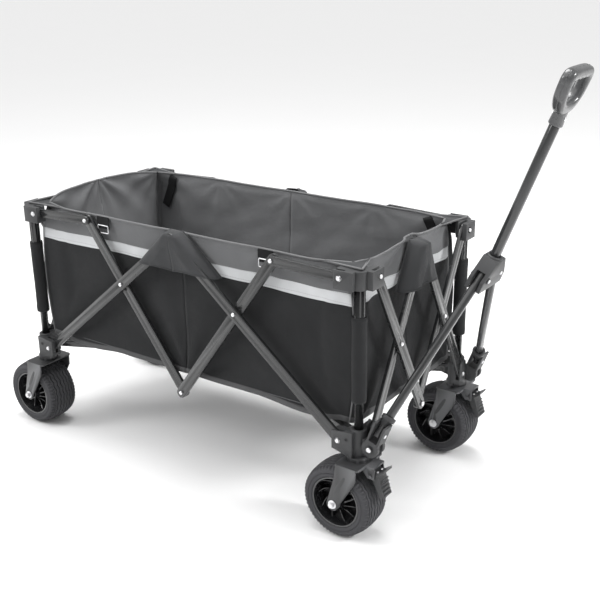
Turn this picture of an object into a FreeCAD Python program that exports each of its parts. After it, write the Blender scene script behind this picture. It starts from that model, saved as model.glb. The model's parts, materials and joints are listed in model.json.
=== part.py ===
import FreeCAD, Part
import math
import os

# Folding wagon with a pull handle.  Millimetres.  +X points forward, to the handle; +Y points left; +Z is up.
# The wagon is drawn about the middle of its four corner posts, and every piece is moved at the end so
# that the wheels stand on z = 0 and the origin lies under the middle of the whole object.

# Corner posts: a thin inner tube fixed in the lower bracket, and an outer tube that slides up on it
POST_X = 475.0                  # middle of the wagon to a post, along the wagon
POST_Y = 221.0                  # middle of the wagon to a post, across the wagon
POST_SLIDE_GAP = 0.5            # between the inner and the outer post
INNER_POST_WALL = 1.5
INNER_POST_BOTTOM = 204.0
INNER_POST_TOP = 560.0
OUTER_POST_DIAMETER = 24.0
OUTER_POST_WALL = 2.0
OUTER_POST_BOTTOM = 340.0

# Moulded corner brackets
BRACKET_BOTTOM = 191.0
BRACKET_TOP = 249.0
END_EAR_TOP = 262.0             # the ear that holds an end bar is taller than the rest
TOP_BRACKET_BOTTOM = 553.0
TOP_BRACKET_TOP = 592.0
COLLAR_WALL = 5.0               # moulding around the outer post
EAR_WALL = 3.5                  # moulding on each side of a bar's end
SLOT_CLEARANCE = 0.5            # beside a bar's end in its slot

# Pressed steel bars, open on the inner side
BAR_WIDTH = 25.0
LINK_WIDTH = 20.0
BAR_DEPTH = 7.0
BAR_WALL = 1.6
BAR_GAP = 1.0                   # between bars that pass each other
SIDE_PLANE = 0.0                # innermost side bar, outward from the posts' middle
END_PLANE = 11.0                # innermost end bar, outward from the posts' middle

# Pivots of the side scissors
LOW_PIVOT_INSET = 35.0          # from the post, along the wagon
LOW_PIVOT_Z = 223.0
APEX_Z = 583.0                  # where the two long side bars meet
CROSS_X = 172.0                 # where a long side bar and a brace cross
BRACE_FOOT_Z = 210.0            # where the two braces meet
LINK_JOINT_X = 275.0            # top of a brace
TOP_PIVOT_INSET = 32.0          # from the post, along the wagon
TOP_PIVOT_Z = 576.0

# Pivots of the end scissors
END_PIVOT_INSET = 28.0          # from the post, across the wagon

# Rivets
RIVET_RADIUS = 4.0
RIVET_HEAD_RADIUS = 7.0
RIVET_HEAD_HEIGHT = 3.0
RUNNING_CLEARANCE = 0.05
OPEN_PIVOT_HOLE = 4.6           # hole radius where a bar is held loosely by the end pin
END_PIN_RADIUS = 2.2
END_PIN_HEAD_RADIUS = 8.0
END_PIN_PLAY = 0.4              # between the pin's head or washer and the bars
HIGH_BAR_SLIP = 6.5             # rise of a high end bar's tip in its slot while the frame folds

# Wheels
WHEEL_RADIUS = 84.0
WHEEL_WIDTH = 84.0
TYRE_CROWN = 4.5                # drop of the tread from its middle to its shoulders
TYRE_SHOULDER_INSET = 6.0
TYRE_SIDE_DROP = 12.0
RIM_RADIUS = 57.0
RIM_WIDTH = 76.0
RIM_WALL = 4.0
RIM_WEB = 6.0
RIM_HUB_RADIUS = 15.0
RIM_HUB_WIDTH = 82.0
SPOKE_COUNT = 9
SPOKE_THICKNESS = 3.0
SPOKE_WIDTH = 52.0
AXLE_RADIUS = 5.0
NUT_ACROSS_CORNERS = 17.0
NUT_THICKNESS = 7.0

# Forks
WHEEL_TRAIL = 33.0              # axle behind the post
CHEEK_GAP = 4.0                 # tyre to fork
CHEEK_THICKNESS = 3.5
CROWN_GAP = 9.0                 # tyre to crown
SWIVEL_HEIGHT = 10.0            # crown to bracket
CROWN_THICKNESS = 4.0
CROWN_LENGTH = 60.0
CHEEK_FOOT_RADIUS = 14.0
CHEEK_TOP_HALF = 23.0
KING_PIN_RADIUS = 6.0
KING_PIN_LENGTH = 34.0          # above the swivel race
RACE_RADIUS = 24.0
RACE_GAP = 0.3                  # swivel race to bracket

# Wheel brakes, in front of the front wheels, placed from the swivel axis
BRAKE_X = 42.0
BRAKE_DROP = 15.0               # brake pivot below the crown
BRAKE_HALF_WIDTH = 16.0
BRAKE_EAR = 3.0
BRAKE_PIN_RADIUS = 3.0
BRAKE_SIDE_GAP = 1.0
BRAKE_HUB_RADIUS = 7.0

# Floor struts and their hub
STRUT_PIVOT_INSET_X = 30.0
STRUT_PIVOT_INSET_Y = 21.0
STRUT_WIDTH = 20.0
STRUT_HEIGHT = 14.0
STRUT_WALL = 1.6
STRUT_END = 8.0                 # strut beyond each pivot
STRUT_PIN_RADIUS = 3.0
STRUT_SIDE_GAP = 0.9
HUB_PIVOT_RADIUS = 103.0        # inner end of each strut, from the middle
HUB_ARM_RADIUS = 108.0
HUB_DISC_RADIUS = 42.0
HUB_THICKNESS = 3.0
HUB_GAP = 1.0

# Fabric basket
BASKET_SIDE_GAP = 3.0           # posts' middle to basket, across the wagon
BASKET_END_GAP = 12.0           # posts' middle to basket, along the wagon
BASKET_CORNER_X = 40.0          # how far the cut corner stops short of the posts, along the wagon
BASKET_CORNER_Y = 39.0          # and across the wagon
BASKET_BOTTOM = 252.0
BASKET_TOP = 594.0
BASKET_WALL = 4.0
BASKET_FLOOR = 5.0

# Pull handle, drawn upright over its pivot and then leaned forward
HANDLE_PIVOT_GAP = 1.0          # post's collar to knuckle
HANDLE_PIVOT_Z = 220.0
HANDLE_LEAN = 21.0
KNUCKLE_OUTSET = 3.0            # knuckle outside the post's middle
KNUCKLE_WIDTH = 31.0
KNUCKLE_CHEEK = 9.0
KNUCKLE_SIDE_GAP = 0.5
KNUCKLE_RADIUS = 19.0
KNUCKLE_DEPTH = 29.0
KNUCKLE_TOP = 62.0
LUG_RADIUS = 14.0
LEG_PIVOT_HEIGHT = 38.0
LEG_DIAMETER = 18.0
LEG_WALL = 1.6
LEG_SLOT_GAP = 0.6
LEG_PIN_RADIUS = 3.0
LEG_END = 9.0                   # leg beyond each pivot
JUNCTION_PIVOT_HEIGHT = 358.0
JUNCTION_PIVOT_Y = 31.0
JUNCTION_BOTTOM = 332.0
JUNCTION_SHOULDER = 356.0
JUNCTION_TOP = 398.0
JUNCTION_HALF_WIDTH = 50.0
JUNCTION_TOP_HALF_WIDTH = 19.0
JUNCTION_DEPTH = 34.0
DRAW_TUBE_DIAMETER = 21.0
DRAW_TUBE_WALL = 1.6
DRAW_TUBE_INSERTION = 20.0
GRIP_BOTTOM = 691.0
GRIP_TOP = 808.0
GRIP_INSERTION = 30.0
GRIP_NECK_RADIUS = 15.0
GRIP_HALF_WIDTH = 55.0
GRIP_THICKNESS = 25.0
GRIP_BAR = 24.0                 # height of the bar that the hand holds
GRIP_SIDE = 18.0                # width of the grip's two sides
GRIP_CORNER = 26.0
GRIP_HOLE_BOTTOM = 738.0
GRIP_EDGE = 7.0

CORNERS = [
    ("front_left", 1, 1),
    ("front_right", 1, -1),
    ("rear_left", -1, 1),
    ("rear_right", -1, -1),
]

X_AXIS = FreeCAD.Vector(1, 0, 0)
Y_AXIS = FreeCAD.Vector(0, 1, 0)
Z_AXIS = FreeCAD.Vector(0, 0, 1)

# Sizes worked out from the ones above
BAR_PITCH = BAR_DEPTH + BAR_GAP
COLLAR_RADIUS = OUTER_POST_DIAMETER / 2 + COLLAR_WALL
LOW_PIVOT_X = POST_X - LOW_PIVOT_INSET
TOP_PIVOT_X = POST_X - TOP_PIVOT_INSET
END_PIVOT_Y = POST_Y - END_PIVOT_INSET
CROSS_Z = LOW_PIVOT_Z + (APEX_Z - LOW_PIVOT_Z) * (LOW_PIVOT_X - CROSS_X) / LOW_PIVOT_X
LINK_JOINT_Z = BRACE_FOOT_Z + (CROSS_Z - BRACE_FOOT_Z) * LINK_JOINT_X / CROSS_X
END_CROSS_Z = (LOW_PIVOT_Z + TOP_PIVOT_Z) / 2
INNER_POST_DIAMETER = OUTER_POST_DIAMETER - 2 * OUTER_POST_WALL - 2 * POST_SLIDE_GAP
BASKET_HALF_WIDTH = POST_Y - BASKET_SIDE_GAP
BASKET_HALF_LENGTH = POST_X - BASKET_END_GAP
CROWN_TOP = BRACKET_BOTTOM - SWIVEL_HEIGHT
CROWN_Z = CROWN_TOP - CROWN_THICKNESS
AXLE_Z = CROWN_Z - CROWN_GAP - WHEEL_RADIUS
GROUND_Z = AXLE_Z - WHEEL_RADIUS
CHEEK_Y = WHEEL_WIDTH / 2 + CHEEK_GAP
FORK_HALF_WIDTH = CHEEK_Y + CHEEK_THICKNESS
STRUT_PIVOT_X = POST_X - STRUT_PIVOT_INSET_X
STRUT_PIVOT_Y = POST_Y - STRUT_PIVOT_INSET_Y
STRUT_REACH = math.hypot(STRUT_PIVOT_X, STRUT_PIVOT_Y)
STRUT_LENGTH = STRUT_REACH - HUB_PIVOT_RADIUS
HANDLE_X = POST_X + COLLAR_RADIUS + KNUCKLE_RADIUS + HANDLE_PIVOT_GAP
KNUCKLE_Y = POST_Y + KNUCKLE_OUTSET
KNUCKLE_SLOT = LEG_DIAMETER + 2 * LEG_SLOT_GAP


def point(x, y, z):
    return FreeCAD.Vector(x, y, z)


def box(x, y, z):
    """A box from three (low, high) pairs."""
    size = [pair[1] - pair[0] for pair in (x, y, z)]
    return Part.makeBox(size[0], size[1], size[2], point(x[0], y[0], z[0]))


def cylinder(centre, axis, radius, length):
    """A cylinder that starts at centre and runs along axis."""
    return Part.makeCylinder(radius, length, centre, axis)


def tube(centre, axis, diameter, wall, length):
    outside = cylinder(centre, axis, diameter / 2, length)
    return outside.cut(cylinder(centre, axis, diameter / 2 - wall, length))


def prism(points, sweep):
    """A straight-sided outline, swept along a vector."""
    return Part.Face(Part.makePolygon(points + points[:1])).extrude(sweep)


def stadium(length, radius, depth):
    """A bar with round ends, along +X from the origin, standing on z = 0."""
    low, high = point(0, -radius, 0), point(length, radius, 0)
    edges = [
        Part.LineSegment(low, point(length, -radius, 0)),
        Part.Arc(point(length, -radius, 0), point(length + radius, 0, 0), high),
        Part.LineSegment(high, point(0, radius, 0)),
        Part.Arc(point(0, radius, 0), point(-radius, 0, 0), low),
    ]
    wire = Part.Wire([edge.toShape() for edge in edges])
    return Part.Face(wire).extrude(point(0, 0, depth))


def oriented(shape, origin, along, outward):
    """Turns a shape drawn along +X with +Z outward, and moves it to origin."""
    across = outward.cross(along)
    turn = FreeCAD.Matrix(
        along.x, across.x, outward.x, origin.x,
        along.y, across.y, outward.y, origin.y,
        along.z, across.z, outward.z, origin.z,
        0, 0, 0, 1,
    )
    moved = shape.copy()
    moved.Placement = FreeCAD.Placement(turn)
    return moved


def reflected(shape, sx, sy):
    """Mirrors a shape drawn for the front left corner to another corner."""
    if sx < 0:
        shape = shape.mirror(point(0, 0, 0), X_AXIS)
    if sy < 0:
        shape = shape.mirror(point(0, 0, 0), Y_AXIS)
    return shape


def channel(start, end, outward, width, holes):
    """A pressed bar between two pivots, open towards the basket.

    holes lists (distance from start, hole radius).
    """
    along = end.sub(start)
    length = along.Length
    along.normalize()
    bar = stadium(length, width / 2, BAR_DEPTH)
    bar = bar.cut(stadium(length, width / 2 - BAR_WALL, BAR_DEPTH - BAR_WALL))
    for place, radius in holes:
        bar = bar.cut(cylinder(point(place, 0, 0), Z_AXIS, radius, BAR_DEPTH))
    return oriented(bar, start, along, outward)


def rivet(seat, outward, shank):
    """A domed rivet whose head sits on seat, with its shank running inward."""
    head = cylinder(seat, outward, RIVET_HEAD_RADIUS, RIVET_HEAD_HEIGHT)
    top = RIVET_HEAD_HEIGHT * 0.9
    crown = [edge for edge in head.Edges if edge.BoundBox.Center.sub(seat).dot(outward) > top]
    head = head.makeFillet(RIVET_HEAD_HEIGHT * 0.8, crown)
    body = cylinder(seat, outward.negative(), RIVET_RADIUS, shank)
    return head.fuse(body)


def side_layer(layer):
    """Inner face of a side bar in a layer, counted outward from 0."""
    return POST_Y + SIDE_PLANE + layer * BAR_PITCH


def end_layer(layer):
    """Inner face of an end bar in a layer, counted outward from 0."""
    return POST_X + END_PLANE + layer * BAR_PITCH


def side_layers(sx):
    """Layers of the long bar, brace and rail link on this half of a side."""
    return (2, 1, 2) if sx > 0 else (1, 0, 1)


def end_layers(sy):
    """Layers of the low and high end bars on this half of an end."""
    return (1, 0) if sy > 0 else (0, 1)


SIDE_EAR_OUT = side_layer(2) + BAR_DEPTH + SLOT_CLEARANCE + EAR_WALL
END_EAR_IN = END_PLANE - SLOT_CLEARANCE - EAR_WALL
END_EAR_OUT = end_layer(1) + BAR_DEPTH + SLOT_CLEARANCE + EAR_WALL


def end_slot(layer, low_z, high_z):
    """Room for an end bar's tip in a bracket's ear."""
    inner = end_layer(layer) - SLOT_CLEARANCE
    outer = inner + BAR_DEPTH + 2 * SLOT_CLEARANCE
    reach = END_PIVOT_Y + BAR_WIDTH / 2 + SLOT_CLEARANCE + EAR_WALL
    return box((inner, outer), (0, reach), (low_z, high_z))


def side_slot(layer, pivot_x, width, low_z, high_z):
    """Room for a side bar's tip in a bracket's ear."""
    inner = side_layer(layer) - SLOT_CLEARANCE
    outer = inner + BAR_DEPTH + 2 * SLOT_CLEARANCE
    return box((0, pivot_x + width / 2 + SLOT_CLEARANCE), (inner, outer), (low_z, high_z))


def corner_bracket(sx, sy):
    """Lower bracket with its rivets, drawn for the front left corner."""
    post = point(POST_X, POST_Y, BRACKET_BOTTOM)
    low = LOW_PIVOT_Z - BAR_WIDTH / 2 - SLOT_CLEARANCE
    ear_start = LOW_PIVOT_X - BAR_WIDTH / 2 - 2
    body = cylinder(post, Z_AXIS, COLLAR_RADIUS, BRACKET_TOP - BRACKET_BOTTOM)
    side_ear = prism(
        [
            point(ear_start, POST_Y + SIDE_PLANE, BRACKET_BOTTOM + 12),
            point(POST_X, POST_Y + SIDE_PLANE, BRACKET_BOTTOM),
            point(POST_X, POST_Y + SIDE_PLANE, BRACKET_TOP),
            point(ear_start, POST_Y + SIDE_PLANE, BRACKET_TOP - 6),
        ],
        point(0, SIDE_EAR_OUT - POST_Y - SIDE_PLANE, 0),
    )
    end_reach = END_PIVOT_Y + BAR_WIDTH / 2 + SLOT_CLEARANCE
    end_ear = prism(
        [
            point(POST_X + END_EAR_IN, END_PIVOT_Y - BAR_WIDTH / 2 - 2, BRACKET_BOTTOM + 8),
            point(POST_X + END_EAR_IN, end_reach, BRACKET_BOTTOM),
            point(POST_X + END_EAR_IN, end_reach, END_EAR_TOP - 9),
            point(POST_X + END_EAR_IN, END_PIVOT_Y, END_EAR_TOP),
            point(POST_X + END_EAR_IN, END_PIVOT_Y - BAR_WIDTH / 2 - 2, END_EAR_TOP - 12),
        ],
        point(END_EAR_OUT - POST_X - END_EAR_IN, 0, 0),
    )
    bridge = box(
        (POST_X - 4, POST_X + END_EAR_IN + EAR_WALL),
        (END_PIVOT_Y - BAR_WIDTH / 2, POST_Y),
        (BRACKET_BOTTOM, BRACKET_TOP),
    )
    body = body.fuse([side_ear, end_ear, bridge])
    long_layer = side_layers(sx)[0]
    low_layer = end_layers(sy)[0]
    body = body.cut(side_slot(long_layer, LOW_PIVOT_X, BAR_WIDTH, low, END_EAR_TOP))
    body = body.cut(end_slot(low_layer, low, END_EAR_TOP + 1))
    body = body.fuse(strut_lug())
    if sx > 0:
        body = body.fuse(handle_lug())
    seat = point(POST_X, POST_Y, INNER_POST_BOTTOM)
    body = body.cut(cylinder(seat, Z_AXIS, INNER_POST_DIAMETER / 2, BRACKET_TOP - INNER_POST_BOTTOM))
    pin_room = KING_PIN_RADIUS + RUNNING_CLEARANCE
    body = body.cut(cylinder(post, Z_AXIS, pin_room, INNER_POST_BOTTOM - BRACKET_BOTTOM))
    pins = [
        rivet(point(LOW_PIVOT_X, SIDE_EAR_OUT, LOW_PIVOT_Z), Y_AXIS, SIDE_EAR_OUT - POST_Y),
        rivet(point(END_EAR_OUT, END_PIVOT_Y, LOW_PIVOT_Z), X_AXIS, END_EAR_OUT - POST_X - END_EAR_IN),
    ]
    for pin in pins:
        body = body.cut(pin)
    return [body, inner_post()] + pins


def inner_post():
    foot = point(POST_X, POST_Y, INNER_POST_BOTTOM)
    return tube(foot, Z_AXIS, INNER_POST_DIAMETER, INNER_POST_WALL, INNER_POST_TOP - INNER_POST_BOTTOM)


def strut_lug():
    """Tongue on the lower bracket that a floor strut turns on."""
    towards = point(-STRUT_PIVOT_X, -STRUT_PIVOT_Y, 0).normalize()
    across = Z_AXIS.cross(towards)
    pivot = point(STRUT_PIVOT_X, STRUT_PIVOT_Y, LOW_PIVOT_Z)
    half = STRUT_WIDTH / 2 - STRUT_WALL - STRUT_SIDE_GAP
    radius = STRUT_HEIGHT / 2 - STRUT_WALL - 0.4
    reach = math.hypot(STRUT_PIVOT_INSET_X, STRUT_PIVOT_INSET_Y) - INNER_POST_DIAMETER / 2 - 1
    tongue = Part.makeBox(reach, 2 * half, 2 * radius, point(-reach, -half, -radius))
    tongue = oriented(tongue, pivot, towards, Z_AXIS)
    round_end = cylinder(pivot.sub(across * half), across, radius, 2 * half)
    pin = cylinder(pivot.sub(across * (STRUT_WIDTH / 2 + 1)), across, STRUT_PIN_RADIUS, STRUT_WIDTH + 2)
    return tongue.fuse([round_end, pin])


def handle_lug():
    """Tongue and pin on a front bracket that the handle's knuckle turns on."""
    half = KNUCKLE_WIDTH / 2 - KNUCKLE_CHEEK - KNUCKLE_SIDE_GAP
    y = (KNUCKLE_Y - half, KNUCKLE_Y + half)
    z = (HANDLE_PIVOT_Z - LUG_RADIUS, HANDLE_PIVOT_Z + LUG_RADIUS)
    tongue = box((POST_X + COLLAR_RADIUS - 6, HANDLE_X), y, z)
    eye = cylinder(point(HANDLE_X, y[0], HANDLE_PIVOT_Z), Y_AXIS, LUG_RADIUS, 2 * half)
    start = point(HANDLE_X, KNUCKLE_Y - KNUCKLE_WIDTH / 2 - 1, HANDLE_PIVOT_Z)
    pin = cylinder(start, Y_AXIS, RIVET_RADIUS, KNUCKLE_WIDTH + 2)
    cap_seat = point(HANDLE_X, KNUCKLE_Y + KNUCKLE_WIDTH / 2 + 1, HANDLE_PIVOT_Z)
    cap = cylinder(cap_seat, Y_AXIS, RIVET_HEAD_RADIUS, RIVET_HEAD_HEIGHT)
    return tongue.fuse([eye, pin, cap])


def top_post(sx, sy):
    """Outer post tube with its top bracket and rivets, drawn for the front left corner."""
    height = TOP_BRACKET_TOP - TOP_BRACKET_BOTTOM
    collar = cylinder(point(POST_X, POST_Y, TOP_BRACKET_BOTTOM), Z_AXIS, COLLAR_RADIUS, height)
    ear_start = TOP_PIVOT_X - LINK_WIDTH / 2 - 3
    side_ear = box(
        (ear_start, POST_X),
        (POST_Y + SIDE_PLANE, SIDE_EAR_OUT),
        (TOP_BRACKET_BOTTOM, TOP_BRACKET_TOP),
    )
    end_start = END_PIVOT_Y - BAR_WIDTH / 2 - 2
    end_ear = box(
        (POST_X + END_EAR_IN, END_EAR_OUT),
        (end_start, POST_Y),
        (TOP_BRACKET_BOTTOM, TOP_BRACKET_TOP),
    )
    bridge = box(
        (POST_X - 4, POST_X + END_EAR_IN + EAR_WALL),
        (END_PIVOT_Y, POST_Y),
        (TOP_BRACKET_BOTTOM, TOP_BRACKET_TOP),
    )
    body = collar.fuse([side_ear, end_ear, bridge])
    link_layer = side_layers(sx)[2]
    high_layer = end_layers(sy)[1]
    slot_floor = TOP_PIVOT_Z - LINK_WIDTH / 2 - SLOT_CLEARANCE
    body = body.cut(side_slot(link_layer, TOP_PIVOT_X, LINK_WIDTH, slot_floor, TOP_BRACKET_TOP + 1))
    slot_roof = TOP_PIVOT_Z + BAR_WIDTH / 2 + SLOT_CLEARANCE + HIGH_BAR_SLIP
    body = body.cut(end_slot(high_layer, TOP_BRACKET_BOTTOM - 1, slot_roof))
    tube_foot = point(POST_X, POST_Y, OUTER_POST_BOTTOM)
    tube_top = TOP_BRACKET_TOP - COLLAR_WALL
    post = tube(tube_foot, Z_AXIS, OUTER_POST_DIAMETER, OUTER_POST_WALL, tube_top - OUTER_POST_BOTTOM)
    hollow = cylinder(tube_foot, Z_AXIS, OUTER_POST_DIAMETER / 2, tube_top - OUTER_POST_BOTTOM)
    body = body.cut(hollow)
    pins = [
        rivet(point(TOP_PIVOT_X, SIDE_EAR_OUT, TOP_PIVOT_Z), Y_AXIS, SIDE_EAR_OUT - POST_Y),
        rivet(point(END_EAR_OUT, END_PIVOT_Y, TOP_PIVOT_Z), X_AXIS, EAR_WALL),
    ]
    for pin in pins:
        body = body.cut(pin)
    return [body, post] + pins


def side_bars(sx):
    """Long bar, brace and rail link of one half of a side, drawn for the front left corner."""
    long_layer, brace_layer, link_layer = side_layers(sx)
    running = RIVET_RADIUS + RUNNING_CLEARANCE
    y = side_layer(long_layer)
    foot = point(LOW_PIVOT_X, y, LOW_PIVOT_Z)
    apex = point(0, y, APEX_Z)
    cross = point(CROSS_X, y, CROSS_Z)
    reach = cross.sub(foot).Length
    length = apex.sub(foot).Length
    holes = [(0, running), (reach, RIVET_RADIUS), (length, RIVET_RADIUS)]
    bar = channel(foot, apex, Y_AXIS, BAR_WIDTH, holes)
    cross_rivet = rivet(cross.add(Y_AXIS * BAR_DEPTH), Y_AXIS, BAR_PITCH + BAR_DEPTH)
    apex_rivet = rivet(apex.add(Y_AXIS * BAR_DEPTH), Y_AXIS, BAR_DEPTH)
    y = side_layer(brace_layer)
    foot = point(0, y, BRACE_FOOT_Z)
    top = point(LINK_JOINT_X, y, LINK_JOINT_Z)
    reach = point(CROSS_X, y, CROSS_Z).sub(foot).Length
    length = top.sub(foot).Length
    holes = [(0, RIVET_RADIUS), (reach, running), (length, RIVET_RADIUS)]
    brace = channel(foot, top, Y_AXIS, BAR_WIDTH, holes)
    foot_rivet = rivet(foot.add(Y_AXIS * BAR_DEPTH), Y_AXIS, BAR_DEPTH)
    y = side_layer(link_layer)
    start = point(TOP_PIVOT_X, y, TOP_PIVOT_Z)
    end = point(LINK_JOINT_X, y, LINK_JOINT_Z)
    length = end.sub(start).Length
    link = channel(start, end, Y_AXIS, LINK_WIDTH, [(0, running), (length, RIVET_RADIUS)])
    link_rivet = rivet(end.add(Y_AXIS * BAR_DEPTH), Y_AXIS, BAR_DEPTH)
    braces = [brace, foot_rivet] if sx > 0 else [brace]
    bars = [bar, cross_rivet, apex_rivet] if sx > 0 else [bar, cross_rivet]
    return {"side_bar": bars, "side_brace": braces, "rail_link": [link, link_rivet]}


def end_bars(sy):
    """Low and high bar of one half of an end, drawn for the front left corner."""
    low_layer, high_layer = end_layers(sy)
    running = RIVET_RADIUS + RUNNING_CLEARANCE
    bars = {}
    for name, layer, start_z, end_z in (
        ("end_low_bar", low_layer, LOW_PIVOT_Z, TOP_PIVOT_Z),
        ("end_high_bar", high_layer, TOP_PIVOT_Z, LOW_PIVOT_Z),
    ):
        x = end_layer(layer)
        start = point(x, END_PIVOT_Y, start_z)
        end = point(x, 0, end_z)
        length = end.sub(start).Length
        cross_hole = RIVET_RADIUS if layer == 1 else running
        end_hole = OPEN_PIVOT_HOLE if name == "end_high_bar" else RIVET_RADIUS
        holes = [(0, running), (length / 2, cross_hole), (length, end_hole)]
        bar = channel(start, end, X_AXIS, BAR_WIDTH, holes)
        pieces = [bar]
        if layer == 1:
            middle = point(x + BAR_DEPTH, END_PIVOT_Y / 2, END_CROSS_Z)
            pieces.append(rivet(middle, X_AXIS, BAR_PITCH + BAR_DEPTH))
        if layer == 1 and name == "end_low_bar":
            pieces.append(rivet(end.add(X_AXIS * BAR_DEPTH), X_AXIS, BAR_DEPTH))
        bars[name] = pieces
    return bars


def end_pivot():
    """Headed pin that loosely holds the two high end bars together at the foot of an end."""
    inner = end_layer(0) - END_PIN_PLAY
    outer = end_layer(1) + BAR_DEPTH + END_PIN_PLAY
    washer = RIVET_HEAD_HEIGHT / 2
    pin = cylinder(point(inner - washer, 0, LOW_PIVOT_Z), X_AXIS, END_PIN_RADIUS, outer - inner + washer + 1)
    head = cylinder(point(outer, 0, LOW_PIVOT_Z), X_AXIS, END_PIN_HEAD_RADIUS, RIVET_HEAD_HEIGHT)
    foot = cylinder(point(inner - washer, 0, LOW_PIVOT_Z), X_AXIS, END_PIN_HEAD_RADIUS, washer)
    return [pin.fuse([head, foot])]


def hexagon(centre, axis, across_corners, thickness):
    """A nut that starts at centre and runs along the Y axis, either way."""
    corners = []
    for i in range(6):
        angle = math.radians(60 * i)
        step = point(math.cos(angle), 0, math.sin(angle)) * (across_corners / 2)
        corners.append(centre.add(step))
    return prism(corners, axis * thickness)


def fork(steered):
    """Pressed fork, swivel race, king pin, axle and nuts about the swivel axis at x = 0, y = 0."""
    top = CROWN_TOP
    gap = RACE_GAP if steered else 0
    crown = box((-CROWN_LENGTH / 2, CROWN_LENGTH / 2), (-FORK_HALF_WIDTH, FORK_HALF_WIDTH), (CROWN_Z, top))
    crown = crown.makeFillet(8, [edge for edge in crown.Edges if abs(edge.tangentAt(0).z) > 0.9])
    axle_x, axle_z = -WHEEL_TRAIL, AXLE_Z
    outline = [
        (-CHEEK_TOP_HALF - 3, CROWN_Z),
        (CHEEK_TOP_HALF, CROWN_Z),
        (CHEEK_TOP_HALF - 2, CROWN_Z - 28),
        (axle_x + CHEEK_FOOT_RADIUS, axle_z - 1),
        (axle_x - CHEEK_FOOT_RADIUS, axle_z + 1),
        (-CHEEK_TOP_HALF - 6, CROWN_Z - 28),
    ]
    solids = [crown]
    for side in (-1, 1):
        face = side * CHEEK_Y
        sweep = point(0, side * CHEEK_THICKNESS, 0)
        cheek = prism([point(x, face, z) for x, z in outline], sweep)
        foot = cylinder(point(axle_x, face, axle_z), Y_AXIS * side, CHEEK_FOOT_RADIUS, CHEEK_THICKNESS)
        solids += [cheek, foot]
    race_height = BRACKET_BOTTOM - gap - top
    race = cylinder(point(0, 0, top), Z_AXIS, RACE_RADIUS, race_height)
    king_pin = cylinder(point(0, 0, top + race_height), Z_AXIS, KING_PIN_RADIUS, KING_PIN_LENGTH)
    if steered:
        solids += brake_ears()
    body = solids[0].fuse(solids[1:])
    reach = FORK_HALF_WIDTH + NUT_THICKNESS + 1
    axle = cylinder(point(axle_x, -reach, axle_z), Y_AXIS, AXLE_RADIUS, 2 * reach)
    body = body.cut(axle)
    nuts = []
    for side in (-1, 1):
        seat = point(axle_x, side * FORK_HALF_WIDTH, axle_z)
        nuts.append(hexagon(seat, Y_AXIS * side, NUT_ACROSS_CORNERS, NUT_THICKNESS).cut(axle))
    return [body, race, king_pin, axle] + nuts


def brake_ears():
    """Two ears and a pin under the crown that carry the brake."""
    pivot_z = CROWN_Z - BRAKE_DROP
    inner = BRAKE_HALF_WIDTH + BRAKE_SIDE_GAP
    ears = []
    for side in (-1, 1):
        plate = prism(
            [
                point(CHEEK_TOP_HALF - 10, side * inner, CROWN_TOP),
                point(BRAKE_X + 8, side * inner, CROWN_TOP),
                point(BRAKE_X + 8, side * inner, pivot_z - 8),
                point(BRAKE_X - 8, side * inner, pivot_z - 8),
            ],
            point(0, side * BRAKE_EAR, 0),
        )
        ears.append(plate)
    reach = inner + BRAKE_EAR + 3
    pin = cylinder(point(BRAKE_X, -reach, pivot_z), Y_AXIS, BRAKE_PIN_RADIUS, 2 * reach)
    outer = inner + BRAKE_EAR
    plate = box((CROWN_LENGTH / 2 - 8, BRAKE_X + 8), (-outer, outer), (CROWN_Z, CROWN_TOP))
    return ears + [pin, plate]


def brake():
    """Rocking brake lever about the swivel axis at x = 0, y = 0: an upper tab and a lower pedal."""
    pivot_z = CROWN_Z - BRAKE_DROP
    sweep = point(0, 2 * BRAKE_HALF_WIDTH, 0)
    y = -BRAKE_HALF_WIDTH
    hub = cylinder(point(BRAKE_X, y, pivot_z), Y_AXIS, BRAKE_HUB_RADIUS, 2 * BRAKE_HALF_WIDTH)
    tab = prism(
        [
            point(BRAKE_X + 2, y, pivot_z - 6),
            point(BRAKE_X + 42, y, pivot_z + 11),
            point(BRAKE_X + 43, y, pivot_z + 17),
            point(BRAKE_X + 14, y, pivot_z + 6),
            point(BRAKE_X + 2, y, pivot_z + 6),
        ],
        sweep,
    )
    pedal = prism(
        [
            point(BRAKE_X - 2, y, pivot_z - 5),
            point(BRAKE_X + 20, y, pivot_z - 50),
            point(BRAKE_X + 30, y, pivot_z - 46),
            point(BRAKE_X + 14, y, pivot_z + 6),
        ],
        sweep,
    )
    body = hub.fuse([tab, pedal])
    hole = BRAKE_PIN_RADIUS + RUNNING_CLEARANCE
    return [body.cut(cylinder(point(BRAKE_X, y, pivot_z), Y_AXIS, hole, 2 * BRAKE_HALF_WIDTH))]


def revolved(points, arcs):
    """Turns an outline of (radius, y) points about the wheel's axis.

    arcs maps a point's place in the list to the middle of the arc that follows it.
    """
    edges = []
    for i, (radius, y) in enumerate(points):
        following = points[(i + 1) % len(points)]
        start, end = point(radius, y, 0), point(following[0], following[1], 0)
        if i in arcs:
            middle = point(arcs[i][0], arcs[i][1], 0)
            edges.append(Part.Arc(start, middle, end).toShape())
        else:
            edges.append(Part.LineSegment(start, end).toShape())
    face = Part.Face(Part.Wire(edges))
    return face.revolve(point(0, 0, 0), Y_AXIS, 360)


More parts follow.
